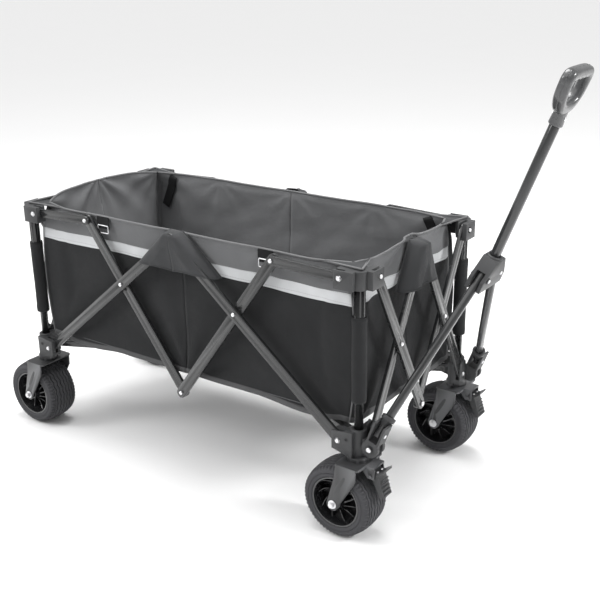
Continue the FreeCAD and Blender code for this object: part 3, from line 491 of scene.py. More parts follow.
@made_once
def lining_cloth():
    return woven("lining_cloth", tuple(props().cloth.lining), 0.62)


@made_once
def floor_cloth():
    return woven("floor_cloth", tint(tuple(props().cloth.lining), 0.8), flat=True)


@made_once
def flap_cloth():
    return woven("flap_cloth", tuple(props().cloth.flap))


@made_once
def hem_tape():
    return woven("hem_tape", tint(tuple(props().cloth.piping), 0.55), 0.7, 0.0018)


@made_once
def piping_tape():
    return woven("piping_tape", tuple(props().cloth.piping), 0.6, 0.0014)


@made_once
def strap_webbing():
    return woven("strap_webbing", tuple(props().cloth.webbing), 0.66, 0.0022, 0.5)


@made_once
def stripe_tape():
    """Reflective tape, with a fine diamond grain and two rows of stitching."""
    finish = Finish("stripe_tape", Specular_IOR_Level=0.6)
    base = tuple(props().cloth.stripe)
    place = finish.place()
    along = finish.part(place, 0) + finish.part(place, 1)
    height = finish.part(place, 2)
    grain, stitch_pitch = 0.0026, 0.0045
    turn = 2 * math.pi / grain
    diamond = ((along + height) * turn).sine() * ((along - height) * turn).sine()
    low, high = props().cloth.stripe_low, props().cloth.stripe_high
    middle = (low + high) / 2
    row = ((height - middle).size() - ((high - low) / 2 - 0.003)).size().below(0.0005)
    stitch = row * (0.0 - (along * (2 * math.pi / stitch_pitch)).sine()).below(0.4)
    colour = finish.mix(finish.ramp(finish.noise(14, 5), 0.3, 0.8), tint(base, 0.86), tint(base, 1.1))
    colour = finish.mix(stitch * 0.7, colour, tint(base, 0.35))
    finish.set(Base_Color=colour, Roughness=finish.noise(70, 3) * 0.14 + 0.36)
    finish.set(Metallic=finish.noise(40, 2) * 0.1 + 0.1)
    finish.bump(diamond * 0.4 + stitch * 2.0 + finish.noise(30, 4) * 3.0, 0.3, 0.0006)
    return finish.done()


# Meshes

def finished(name, bm, materials, body):
    """Turns a bmesh into a piece that rides on a body."""
    mesh = bpy.data.meshes.new(name)
    bm.normal_update()
    bm.to_mesh(mesh)
    bm.free()
    for material in materials:
        mesh.materials.append(material)
    for polygon in mesh.polygons:
        polygon.use_smooth = True
    piece = bpy.data.objects.new(name, mesh)
    bpy.context.scene.collection.objects.link(piece)
    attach(piece, body)
    return piece


def soften(piece, width, angle=35):
    """Rounds the sharp edges of a piece."""
    bevel = piece.modifiers.new("Soft edges", "BEVEL")
    bevel.width = width
    bevel.segments = 2
    bevel.limit_method = "ANGLE"
    bevel.angle_limit = math.radians(angle)
    bevel.harden_normals = True
    bevel.use_clamp_overlap = True


def thicken(piece, thickness):
    """Gives a sheet its thickness, inward from its outer side."""
    skin = piece.modifiers.new("Cloth thickness", "SOLIDIFY")
    skin.thickness = thickness
    skin.offset = -1
    return skin


def fill(bm, rows, around=False, material=0):
    """Makes the faces between neighbouring rows of points. around closes each row into a ring."""
    for first, second in zip(rows, rows[1:]):
        count = len(first)
        for k in range(count if around else count - 1):
            following = (k + 1) % count
            face = bm.faces.new([first[k], first[following], second[following], second[k]])
            face.material_index = material


def islands(bm):
    """Groups of faces that hang together across ordinary edges."""
    seen = set()
    found = []
    for face in bm.faces:
        if face in seen:
            continue
        seen.add(face)
        group = [face]
        for current in group:
            for edge in current.edges:
                if len(edge.link_faces) != 2:
                    continue
                for other in edge.link_faces:
                    if other not in seen:
                        seen.add(other)
                        group.append(other)
        found.append(group)
    return found


def extent(faces):
    """How far some faces reach along each axis."""
    spots = [vert.co for face in faces for vert in face.verts]
    return [max(s[i] for s in spots) - min(s[i] for s in spots) for i in range(3)]


HARDWARE = 0.0176       # rivets, nuts and axles are no thicker than this
POST_LENGTH = 0.20      # only a post is this tall in a bracket's node


def slimmed(bm, group, share):
    """Parts a rivet or bolt from what it touches and makes it narrower about its own axis."""
    sizes = extent(group)
    order = sorted(range(3), key=lambda axis: sizes[axis])
    ordered = [sizes[axis] for axis in order]
    own = order[2] if ordered[1] - ordered[0] < ordered[2] - ordered[1] else order[0]
    parted = bmesh.ops.split(bm, geom=list(group))["geom"]
    verts = list(dict.fromkeys(item for item in parted if isinstance(item, bmesh.types.BMVert)))
    centre = sum((vert.co for vert in verts), Vector()) / len(verts)
    for vert in verts:
        for axis in range(3):
            if axis != own:
                vert.co[axis] = centre[axis] + (vert.co[axis] - centre[axis]) * share


def made_from(node, main, width, post=None, heads=0.68):
    """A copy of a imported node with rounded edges, its rivets bright and its post painted."""
    bm = bmesh.new()
    bm.from_mesh(frame["nodes"][node].data)
    bmesh.ops.remove_doubles(bm, verts=bm.verts, dist=1e-6)
    for group in islands(bm):
        size = sorted(extent(group))
        bright = size[1] < HARDWARE
        painted = post is not None and size[2] > POST_LENGTH
        for face in group:
            face.material_index = 1 if bright else 2 if painted else 0
        if bright:
            slimmed(bm, group, heads)
    bmesh.ops.dissolve_limit(
        bm, angle_limit=math.radians(0.8), verts=bm.verts, edges=bm.edges, delimit={"MATERIAL"})
    materials = [main, bright_zinc(), post or main]
    piece = finished(node + "_made", bm, materials, frame["nodes"][node]["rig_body"])
    soften(piece, width)
    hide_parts(node)
    return piece


def lathe(bm, centre, axis, profile, segments=32, material=0):
    """Turns a profile of (radius, along) pairs about an axis; a radius of 0 closes the end."""
    axis = axis.normalized()
    side = axis.orthogonal().normalized()
    up = axis.cross(side)
    rings = []
    for radius, along in profile:
        middle = centre + axis * along
        if radius == 0:
            rings.append([bm.verts.new(middle)])
            continue
        ring = []
        for i in range(segments):
            turn = 2 * math.pi * i / segments
            ring.append(bm.verts.new(middle + (side * math.cos(turn) + up * math.sin(turn)) * radius))
        rings.append(ring)
    for first, second in zip(rings, rings[1:]):
        for i in range(segments):
            following = (i + 1) % segments
            corners = [first[i % len(first)], second[i % len(second)]]
            corners += [second[following % len(second)], first[following % len(first)]]
            unique = list(dict.fromkeys(corners))
            if len(unique) > 2:
                bm.faces.new(unique).material_index = material


def path_frames(path, closed, level):
    """Side and up directions along a path that don't twist."""
    count = len(path)
    frames = []
    side = None
    for i, here in enumerate(path):
        ahead = path[(i + 1) % count] if closed or i + 1 < count else here
        behind = path[i - 1] if closed or i > 0 else here
        along = (ahead - behind).normalized()
        if level is not None:
            side = level.cross(along).normalized()
        elif side is None:
            side = along.orthogonal().normalized()
        else:
            side = (side - along * side.dot(along)).normalized()
        frames.append((side, along.cross(side)))
    return frames


def sweep(bm, path, section, closed=False, level=None, material=0):
    """Runs a closed section along a path.

    The section is (side, up) pairs, or a function that gives them for a place on the path.
    """
    frames = path_frames(path, closed, level)
    rings = []
    for i, (here, (side, up)) in enumerate(zip(path, frames)):
        outline = section(i) if callable(section) else section
        rings.append([bm.verts.new(here + side * a + up * b) for a, b in outline])
    fill(bm, rings + rings[:1] if closed else rings, around=True, material=material)
    if not closed:
        bm.faces.new(list(reversed(rings[0]))).material_index = material
        bm.faces.new(rings[-1]).material_index = material


def circle(radius, count):
    """The section of a round cord."""
    turns = [2 * math.pi * i / count for i in range(count)]
    return [(radius * math.cos(turn), radius * math.sin(turn)) for turn in turns]


def flat_section(width, height, power, count):
    """A rounded rectangle, squarer with a higher power."""
    outline = []
    for i in range(count):
        turn = 2 * math.pi * i / count
        a, b = math.cos(turn), math.sin(turn)
        outline.append((
            math.copysign(abs(a) ** (2 / power), a) * width / 2,
            math.copysign(abs(b) ** (2 / power), b) * height / 2,
        ))
    return outline


def rounded(points, rounds, closed=False):
    """Cuts the corners of a path until it runs smoothly."""
    for _ in range(rounds):
        pairs = list(zip(points, points[1:]))
        if closed:
            pairs.append((points[-1], points[0]))
        smooth = [] if closed else [points[0]]
        for first, second in pairs:
            smooth.append(first.lerp(second, 0.25))
            smooth.append(first.lerp(second, 0.75))
        if not closed:
            smooth.append(points[-1])
        points = smooth
    return points


def dome(name, seat, outward, radius, height, body):
    """A bright rivet head with a small punch mark."""
    bm = bmesh.new()
    profile = [(radius, -0.0004), (radius, height * 0.3)]
    for step in range(1, 6):
        turn = math.pi / 2 * step / 6
        profile.append((radius * math.cos(turn), height * (0.3 + 0.7 * math.sin(turn))))
    profile += [(radius * 0.2, height * 0.96), (radius * 0.14, height * 0.78), (0, height * 0.74)]
    lathe(bm, seat, outward, profile, 28)
    finished(name, bm, [bright_zinc()], body)


# Frame

class WAGON_OT_bars(bpy.types.Operator):
    """Pressed bars of the scissors, the floor struts and their hub"""
    bl_idname = "wagon.bars"
    bl_label = "Bars and struts"

    def execute(self, context):
        prefixes = (
            "side_bar", "side_brace", "rail_link", "end_low_bar", "end_high_bar", "floor_strut", "floor_hub")
        for node in frame["nodes"]:
            if node.startswith(prefixes):
                made_from(node, steel_coat(), 0.0006)
            if node.startswith("end_pivot"):
                made_from(node, bright_zinc(), 0.0004)
        return {"FINISHED"}


class WAGON_OT_brackets(bpy.types.Operator):
    """Moulded corner brackets with their posts, rivets and screw holes"""
    bl_idname = "wagon.brackets"
    bl_label = "Brackets and posts"

    def execute(self, context):
        for name, (sx, sy) in CORNERS.items():
            made_from("corner_bracket_" + name, bracket_nylon(), 0.0009, steel_coat())
            made_from("top_post_" + name, bracket_nylon(), 0.0009, steel_coat())
            self.screw_hole(name, sx, sy)
            self.collar_rib(name, sx, sy)
        for side, sy in (("left", 1), ("right", -1)):
            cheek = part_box("handle_knuckle_left")[1].y + 0.003
            seat = Vector((HANDLE_PIVOT.x, sy * cheek, HANDLE_PIVOT.z))
            dome("handle_pivot_cap_" + side, seat, LEFT * sy, 0.0056, 0.0030, "corner_front_" + side)
        return {"FINISHED"}

    def screw_hole(self, name, sx, sy):
        """Recessed screw hole on the long ear of a lower bracket; its inside is a dark disc of painted shade.
        """
        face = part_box("corner_bracket_front_left")[1].y - 0.003
        seat = spot(sx * (POST_X - 0.014), sy * face, LOW_PIVOT.z + 0.008)
        rim = [(0.0046, -0.0002), (0.0046, 0.0006), (0.0036, 0.0008), (0.0032, 0.0003)]
        bm = bmesh.new()
        lathe(bm, seat, LEFT * sy, rim, 24)
        # A near-black disc just below the rim: painted shade for the inside of the hole.
        lathe(bm, seat, LEFT * sy, [(0.0033, 0.0003), (0, 0.0002)], 24, 1)
        materials = [bracket_nylon(), hole_painted_shade()]
        finished("screw_hole_" + name, bm, materials, "corner_" + name)

    def collar_rib(self, name, sx, sy):
        """Raised rib round the collar of a lower bracket."""
        low, high, radius = 0.2465, 0.2505, 0.0172
        profile = [
            (0.0108, high), (radius - 0.001, high), (radius, high - 0.001), (radius, low),
            (radius - 0.0012, low - 0.001),
        ]
        bm = bmesh.new()
        lathe(bm, spot(sx * POST_X, sy * POST_Y, 0), UP, profile, 48)
        finished("collar_rib_" + name, bm, [bracket_nylon()], "corner_" + name)


# Wheels

class WAGON_OT_wheels(bpy.types.Operator):
    """Tyres, rims and forks"""
    bl_idname = "wagon.wheels"
    bl_label = "Wheels and forks"
    RIB_STEPS = 14

    def execute(self, context):
        for name in CORNERS:
            low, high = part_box("tyre_" + name)
            centre = (low + high) / 2
            self.tyre(name, centre, (high.z - low.z) / 2, (high.y - low.y) / 2)
            self.rim(name, centre)
            made_from("fork_" + name, fork_coat(), 0.0016, heads=0.8)
            self.fork_pressing(name, centre)
        return {"FINISHED"}

    def tread_profile(self, radius, half):
        """(across, radius, share of the groove's wave, lug) round the outside of a tyre, left to right."""
        sizes = props().wheels
        low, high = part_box("rim_front_left")
        bead_radius = (high.z - low.z) / 2
        wall = [
            (-half + 0.0050, bead_radius, 0, 0), (-half + 0.0020, bead_radius + 0.0012, 0, 0),
            (-half + 0.0008, bead_radius + 0.0030, 0, 0), (-half + 0.0002, bead_radius + 0.0075, 0, 0),
            (-half + 0.0003, bead_radius + 0.0085, 0, 0), (-half + 0.0014, bead_radius + 0.0089, 0, 0),
            (-half + 0.0014, bead_radius + 0.0099, 0, 0), (-half + 0.0002, bead_radius + 0.0104, 0, 0),
            (-half + 0.0002, bead_radius + 0.0145, 0, 0), (-half + 0.0014, bead_radius + 0.0175, 0, 0.35),
            (-half + 0.0034, radius - 0.0062, 0, 1), (-half + 0.0058, radius - 0.0046, 0, 1),
            (-half + 0.0092, radius - 0.0036, 0, 0.8), (-half + 0.0096, radius - 0.0052, 0.25, 0),
            (-half + 0.0112, radius - 0.0052, 0.4, 0), (-half + 0.0118, radius - 0.0031, 0.6, 0),
        ]
        tread = []
        outer_groove = half - 0.0170
        spacing = 2 * outer_groove / (sizes.grooves - 1)
        for i in range(sizes.grooves):
            middle = -outer_groove + i * spacing
            for offset, depth in ((-0.0016, 0), (-0.0009, 1), (0.0009, 1), (0.0016, 0)):
                across = middle + offset
                land = self.crowned(across, radius, half)
                tread.append((across, land - depth * sizes.groove_depth, 1, 0))
            if i + 1 < sizes.grooves:
                across = middle + spacing / 2
                tread.append((across, self.crowned(across, radius, half) + 0.0001, 1, 0))
        other_wall = [(-across, r, wave, lug) for across, r, wave, lug in reversed(wall)]
        return wall + tread + other_wall

    def crowned(self, across, radius, half):
        """Radius of the tread, which is a little lower towards its shoulders."""
        crown = 0.0030
        return radius - crown * (across / (half - 0.0118)) ** 2

    def tyre(self, name, centre, radius, half):
        sizes = props().wheels
        profile = self.tread_profile(radius, half)
        steps = sizes.lugs * 4
        bm = bmesh.new()
        rings = []
        for i in range(steps):
            turn = 2 * math.pi * i / steps
            wave = 0.0013 * math.sin(turn * sizes.waves)
            notch = 0.0030 if i % 4 in (2, 3) else 0.0
            ring = []
            for across, r, share, lug in profile:
                r = r - notch * lug
                across = across + wave * share
                ring.append(bm.verts.new(centre + Vector((r * math.cos(turn), across, r * math.sin(turn)))))
            rings.append(ring)
        fill(bm, rings + rings[:1], around=True)
        piece = finished("tyre_tread_" + name, bm, [tyre_rubber()], "wheel_" + name)
        piece.data.set_sharp_from_angle(angle=math.radians(38))
        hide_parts("tyre_" + name)

    def rim(self, name, centre):
        """Dished rim: flanged barrel, web, hub and curved spokes on both sides."""
        sizes = props().wheels
        low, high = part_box("rim_" + name)
        half = (high.y - low.y) / 2
        radius = (high.z - low.z) / 2
        barrel_half = half - 0.003
        bm = bmesh.new()
        barrel = [
            (radius - 0.0002, -barrel_half + 0.002), (radius - 0.0002, barrel_half - 0.002),
            (radius + 0.0006, barrel_half - 0.001), (radius + 0.0006, barrel_half + 0.0016),
            (radius - 0.0006, barrel_half + 0.0024), (radius - 0.0036, barrel_half + 0.0018),
            (radius - 0.0046, barrel_half - 0.002), (radius - 0.0060, barrel_half - 0.010),
            (radius - 0.0068, 0.004), (radius - 0.0068, -0.004),
            (radius - 0.0060, -barrel_half + 0.010), (radius - 0.0046, -barrel_half + 0.002),
            (radius - 0.0036, -barrel_half - 0.0018), (radius - 0.0006, -barrel_half - 0.0024),
            (radius + 0.0006, -barrel_half - 0.0016), (radius + 0.0006, -barrel_half + 0.001),
        ]
        lathe(bm, centre, LEFT, barrel + barrel[:1], 96)
        bore = 0.0052
        for side in (-1, 1):
            hub = [
                (radius - 0.0064, 0.0025), (0.030, 0.0035), (0.0175, 0.006), (0.0165, half - 0.012),
                (0.0150, half - 0.004), (0.0142, half - 0.0006), (0.0130, half), (0.0092, half),
                (0.0084, half - 0.0014), (bore, half - 0.0014),
            ]
            lathe(bm, centre, LEFT * side, hub, 64)
            for i in range(sizes.spokes):
                self.spoke(bm, centre, side, 2 * math.pi * i / sizes.spokes, radius, half)
        piece = finished("rim_moulding_" + name, bm, [rim_gloss()], "wheel_" + name)
        soften(piece, 0.0005, 40)
        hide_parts("rim_" + name)

    def spoke(self, bm, centre, side, start, radius, half):
        """One curved spoke, thinner at its outer edge."""
        steps = 12
        inner, outer = 0.0158, radius - 0.0055
        rows = []
        for k in range(steps + 1):
            share = k / steps
            r = inner + (outer - inner) * share
            turn = start + 0.62 * share ** 1.3
            depth = half - 0.012 - 0.010 * math.sin(math.pi * share) - 0.004 * share
            thick = 0.0021 - 0.0006 * share
            out = Vector((math.cos(turn), 0, math.sin(turn)))
            across = Vector((-math.sin(turn), 0, math.cos(turn)))
            edge = depth - 0.0006
            ridge = ((-1.25, 0.002), (-1.0, edge), (0.0, depth), (1.0, edge), (1.25, 0.002))
            row = []
            for offset, along in ridge:
                row.append(bm.verts.new(centre + out * r + across * (offset * thick) + LEFT * (side * along)))
            rows.append(row)
        fill(bm, rows)

    def fork_pressing(self, name, centre):
        """Pressed ribs down both cheeks of a fork, and washers under the axle nuts."""
        low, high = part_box("fork_" + name)
        nut = 0.007
        face = (high.y - low.y) / 2 - nut - 0.001
        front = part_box("tyre_front_left")
        trail = joint_place("caster_swivel_front_left").x - front[0].x - (front[1].x - front[0].x) / 2
        top = Vector((centre.x + trail, 0, 0.168))
        washer = [
            (0.0052, 0.0000), (0.0092, 0.0000), (0.0096, 0.0005), (0.0096, 0.0010), (0.0092, 0.0014),
            (0.0052, 0.0014),
        ]
        axle_cap = [(0.0048, -0.001), (0.0048, 0.0004), (0.0040, 0.0009), (0, 0.0010)]
        bm = bmesh.new()
        for side in (-1, 1):
            start = Vector((top.x - 0.002, centre.y + side * (face - 0.0004), top.z - 0.010))
            end = Vector((centre.x + 0.004, centre.y + side * (face - 0.0004), centre.z + 0.026))
            path = [start.lerp(end, k / self.RIB_STEPS) for k in range(self.RIB_STEPS + 1)]
            sweep(bm, path, self.rib_section, level=LEFT * side)
            seat = Vector((centre.x, centre.y + side * face, centre.z))
            lathe(bm, seat, LEFT * side, washer, 36, 1)
            tip = Vector((centre.x, centre.y + side * (face + nut + 0.0008), centre.z))
            lathe(bm, tip, LEFT * side, axle_cap, 28, 1)
        body = ("caster_" if name.startswith("front") else "corner_") + name
        piece = finished("fork_pressing_" + name, bm, [fork_coat(), bright_zinc()], body)
        piece.data.set_sharp_from_angle(angle=math.radians(40))

    def rib_section(self, k):
        """Section of a pressed rib, which fades out at both ends."""
        share = math.sin(math.pi * (k / self.RIB_STEPS)) ** 0.5
        return flat_section(0.003 + 0.0070 * share, 0.0006 + 0.0016 * share, 2.4, 14)


class WAGON_OT_brakes(bpy.types.Operator):
    """Brake levers of the front wheels, with their bolts and ribbed pedals"""
    bl_idname = "wagon.brakes"
    bl_label = "Brakes"

    def execute(self, context):
        for name in ("front_left", "front_right"):
            lever = made_from("brake_" + name, bracket_nylon(), 0.0016)
            low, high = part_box("brake_" + name)
            pivot = joint_place("brake_press_" + name)
            start, pedal_share = pivot.x + 0.012, 0.55
            for vert in lever.data.vertices:
                if vert.co.x > start and vert.co.z > pivot.z - 0.006:
                    vert.co.x = start + (vert.co.x - start) * pedal_share
            middle = (low.y + high.y) / 2
            bm = bmesh.new()
            toe = Vector((pivot.x + 0.024, middle, pivot.z - 0.046))
            root = Vector((pivot.x + 0.012, middle, pivot.z + 0.004))
            slope = (toe - root).normalized()
            out = LEFT.cross(slope).normalized()
            if out.x < 0:
                out = -out
            for k in range(5):
                at = root.lerp(toe, 0.30 + 0.16 * k) + out * 0.0064
                path = [at - LEFT * 0.013, at - LEFT * 0.0122, at + LEFT * 0.0122, at + LEFT * 0.013]
                sweep(bm, path, flat_section(0.0026, 0.0026, 2.6, 12), level=slope)
            bolt = [(0.0042, -0.002), (0.0042, 0.0016), (0.0034, 0.0024), (0, 0.0027)]
            for across in (-0.0085, 0.0085):
                seat = Vector((pivot.x + 0.0105, middle + across, pivot.z + 0.0035))
                lathe(bm, seat, Vector((0.75, 0, 0.66)), bolt, 24, 1)
            materials = [bracket_nylon(), bright_zinc()]
            finished("brake_ribs_" + name, bm, materials, "brake_" + name)
        return {"FINISHED"}


# Pull handle

# The grip, up the handle from its pivot, its half width and its depth
GRIP_LOW = 0.691
GRIP_HIGH = 0.808
GRIP_HALF = 0.055
GRIP_THICK = 0.025


class WAGON_OT_handle(bpy.types.Operator):
    """Knuckles, legs, junction, draw tube and grip"""
    bl_idname = "wagon.handle"
    bl_label = "Pull handle"

    def execute(self, context):
        for side, sy in (("left", 1), ("right", -1)):
            made_from("handle_knuckle_" + side, bracket_nylon(), 0.0022)
            made_from("handle_leg_" + side, tube_gloss(), 0.0005)
            self.socket_rim(side, sy)
        made_from("handle_junction", bracket_nylon(), 0.0024)
        made_from("draw_tube", tube_gloss(), 0.0005)
        self.junction_fittings()
        self.grip()
        return {"FINISHED"}

    def socket_rim(self, side, sy):
        """Collar at the mouth of a knuckle, round the leg."""
        foot = Vector((LEG_FOOT.x, sy * LEG_FOOT.y, LEG_FOOT.z))
        head = Vector((LEG_HEAD.x, sy * LEG_HEAD.y, LEG_HEAD.z))
        along = (head - foot).normalized()
        mouth = foot + along * 0.0330
        bm = bmesh.new()
        profile = [
            (0.0093, -0.0160), (0.0104, -0.0160), (0.0106, -0.0040), (0.0146, -0.0032), (0.0152, 0.0050),
            (0.0142, 0.0064), (0.0108, 0.0064), (0.0093, 0.0056),
        ]
        lathe(bm, mouth, along, profile + profile[:1], 48)
        finished("socket_rim_" + side, bm, [bracket_nylon()], "leg_" + side)
        dome("leg_pin_" + side, foot + HANDLE_FRONT * 0.0146, HANDLE_FRONT, 0.0042, 0.0020, "knuckle_" + side)

    def junction_fittings(self):
        """Bright pivot heads on both faces, and a collar at the draw tube."""
        pivot_height = (LEG_HEAD - HANDLE_PIVOT).dot(HANDLE_UP)
        face = 0.017
        for side, sy, lift in (("left", 1, 0.0002), ("right", -1, 0.0028)):
            for end, direction in (("front", 1), ("rear", -1)):
                seat = on_handle(sy * LEG_HEAD.y, pivot_height, direction * (face + lift))
                name = "junction_head_%s_%s" % (side, end)
                dome(name, seat, HANDLE_FRONT * direction, 0.0044, 0.0024, "handle")
        top = on_handle(0, pivot_height + 0.040)
        bm = bmesh.new()
        collar = [
            (0.0107, -0.003), (0.0166, -0.003), (0.0166, 0.0008), (0.0150, 0.0030), (0.0126, 0.0036),
            (0.0107, 0.0030),
        ]
        lathe(bm, top, HANDLE_UP, collar + collar[:1], 48)
        finished("draw_tube_collar", bm, [bracket_nylon()], "handle")

    def grip(self):
        """Closed loop grip: a shaped bar for the fingers, two sides and a neck on the draw tube."""
        path = self.loop()
        centre = on_handle(0, GRIP_HIGH - 0.047)
        sections = [self.loop_section(here) for here in path]
        bm = bmesh.new()
        sweep(bm, path, lambda i: self.turned(sections[i], path, i, centre), closed=True, level=HANDLE_FRONT)
        self.neck(bm)
        bmesh.ops.recalc_face_normals(bm, faces=bm.faces)
        piece = finished("grip_loop", bm, [grip_gloss()], "handle")
        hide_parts("grip")
        for end, direction in (("front", 1), ("rear", -1)):
            seat = on_handle(0, GRIP_LOW + 0.017, direction * 0.0132)
            dome("grip_screw_" + end, seat, HANDLE_FRONT * direction, 0.0034, 0.0014, "handle")
        self.seam(path, sections, centre)

    def loop(self):
        """The middle line of the loop, like a rounded triangle that stands on its tip."""
        side, top = 0.0088, GRIP_HIGH - 0.0118
        outline = [
            (0, GRIP_LOW + 0.036), (0.020, GRIP_LOW + 0.037), (GRIP_HALF - 0.015, GRIP_HIGH - 0.062),
            (GRIP_HALF - side, GRIP_HIGH - 0.040), (GRIP_HALF - side, top - 0.002), (GRIP_HALF - 0.030, top),
            (0, top),
        ]
        outline += [(-y, h) for y, h in reversed(outline[1:-1])]
        return rounded([on_handle(y, h) for y, h in outline], 4, closed=True)

    def loop_section(self, here):
        """Section of the bar at a place on the loop, with hollows for the fingers along its top."""
        along = here - on_handle(0, 0)
        y, height = along.y, along.dot(HANDLE_UP)
        upper = min(1.0, max(0.0, (height - (GRIP_HIGH - 0.030)) / 0.016))
        lower = min(1.0, max(0.0, (GRIP_LOW + 0.050 - height) / 0.012))
        width = 0.0168 + 0.0062 * upper + 0.0065 * lower
        finger_pitch, fingers_end = 0.0185, 0.037
        finger = 0.5 - 0.5 * math.cos(2 * math.pi * (y / finger_pitch + 0.5))
        scallop = 0.0030 * upper * finger * (1 if abs(y) < fingers_end else 0)
        outline = []
        for a, b in flat_section(width, GRIP_THICK, 2.9, 24):
            inner = max(0.0, a / (width / 2))
            outline.append((a - scallop * inner, b))
        return outline

    def neck(self, bm):
        """Neck from the draw tube up into the loop, wider and flatter towards its top."""
        sides = 32
        rings = []
        for share in (0.0, 0.04, 0.10, 0.25, 0.45, 0.65, 0.82, 0.95, 1.0):
            height = GRIP_LOW + 0.040 * share
            half_y = 0.0145 + 0.0045 * share ** 2
            half_x = 0.0145 - 0.0028 * share
            if share == 0.0:
                half_y = half_x = 0.0132
            ring = []
            for k in range(sides):
                turn = 2 * math.pi * k / sides
                a, b = math.cos(turn), math.sin(turn)
                ring.append(bm.verts.new(on_handle(half_y * a, height, half_x * b)))
            rings.append(ring)
        fill(bm, rings, around=True)
        bm.faces.new(list(reversed(rings[0])))
        bm.faces.new(rings[-1])

    def seam(self, path, sections, centre):
        """Moulding line round the outside of the loop."""
        proud = [here + (here - centre).normalized() * 0.0001 for here in path]
        rim = []
        for i, here in enumerate(proud):
            ahead = (proud[(i + 1) % len(proud)] - proud[i - 1]).normalized()
            out = HANDLE_FRONT.cross(ahead).normalized()
            if out.dot(here - centre) < 0:
                out = -out
            rim.append(here + out * max(a for a, _ in sections[i]))
        bm = bmesh.new()
        sweep(bm, rim, circle(0.0007, 6), closed=True, level=HANDLE_FRONT)
        finished("grip_seam", bm, [grip_gloss()], "handle")

    def turned(self, outline, path, i, centre):
        """Points the section's scalloped side towards the hole."""
        ahead = (path[(i + 1) % len(path)] - path[i - 1]).normalized()
        side = HANDLE_FRONT.cross(ahead).normalized()
        if side.dot(centre - path[i]) > 0:
            return outline
        return [(-a, b) for a, b in outline]


# Fabric

# The parts of a wall from its rim down, as places in its list of materials
BAND, STRIPE, LOWER, HEM = range(4)
CLOTH_GAP = 0.0014          # from the tub's face to the cloth
RIM_DROP = 0.0012           # from the rim's height to the cloth's edge, under the piping
STRAP_X = {1: 0.243, -1: 0.232}     # a webbing tab from the middle, in front and behind


def settled(value, low, high):
    """0 below low and 1 above high, smooth between."""
    share = min(1.0, max(0.0, (value - low) / (high - low)))
    return share * share * (3 - 2 * share)


def crumple(x, y, z, seed):
    """Soft unevenness of cloth, about -1 to 1."""
    wide = noise.noise(Vector((x * 5.0 + seed, y * 5.0, z * 6.0)))
    fine = noise.noise(Vector((x * 14.0, y * 14.0 + seed, z * 11.0)))
    return 0.75 * wide + 0.35 * fine


def pulls(x, z, anchors):
    """Creases that run out from the places where the cloth is held."""
    total = 0.0
    for at_x, at_z, reach, size, count, phase in anchors:
        away = math.hypot(x - at_x, z - at_z)
        turn = math.atan2(z - at_z, x - at_x)
        crease = size * math.exp(-((away / reach) ** 2)) * math.cos(count * turn + phase)
        total += crease * settled(away, 0.0, 0.04)
    return total


def cloth_rows():
    """Heights of a wall's rows, with the cloth's part between each row and the next."""
    cloth = props().cloth
    zones = [
        (cloth.rim_height, cloth.stripe_high, 14, BAND),
        (cloth.stripe_high, cloth.stripe_low, 5, STRIPE),
        (cloth.stripe_low, TUB_LOW.z + cloth.hem, 34, LOWER),
        (TUB_LOW.z + cloth.hem, TUB_LOW.z, 3, HEM),
    ]
    heights, kinds = [cloth.rim_height], []
    for high, low, count, kind in zones:
        for k in range(count):
            heights.append(high + (low - high) * (k + 1) / count)
            kinds.append(kind)
    return heights, kinds


def cloth_piece(name, columns, rows, place, kinds, body, outward):
    """A wall of cloth. place gives a point from a column's and a row's value."""
    bm = bmesh.new()
    grid = [[bm.verts.new(place(u, v)) for u in columns] for v in rows]
    for r, kind in enumerate(kinds):
        for c in range(len(columns) - 1):
            face = bm.faces.new([grid[r][c], grid[r + 1][c], grid[r + 1][c + 1], grid[r][c + 1]])
            face.material_index = kind
    bm.normal_update()
    middle = list(bm.faces)[len(bm.faces) // 2]
    if middle.normal.dot(outward) < 0:
        bmesh.ops.reverse_faces(bm, faces=bm.faces)
    outside = [band_cloth(), stripe_tape(), lower_cloth(), hem_tape()]
    piece = finished(name, bm, outside + [lining_cloth()] * len(outside), body)
    skin = thicken(piece, props().cloth.thickness)
    skin.material_offset = len(outside)
    skin.use_even_offset = True
    return piece


def spread(start, end, count):
    """Even steps from start to end, with both ends."""
    return [start + (end - start) * k / count for k in range(count + 1)]


def rim_rise(x):
    """The rim of a long side dips a little between the places that hold it up."""
    holds = (0.0, 0.238, LONG_WALL_END)
    away = min(abs(abs(x) - hold) for hold in holds)
    return -0.0012 * settled(away, 0.0, 0.09)


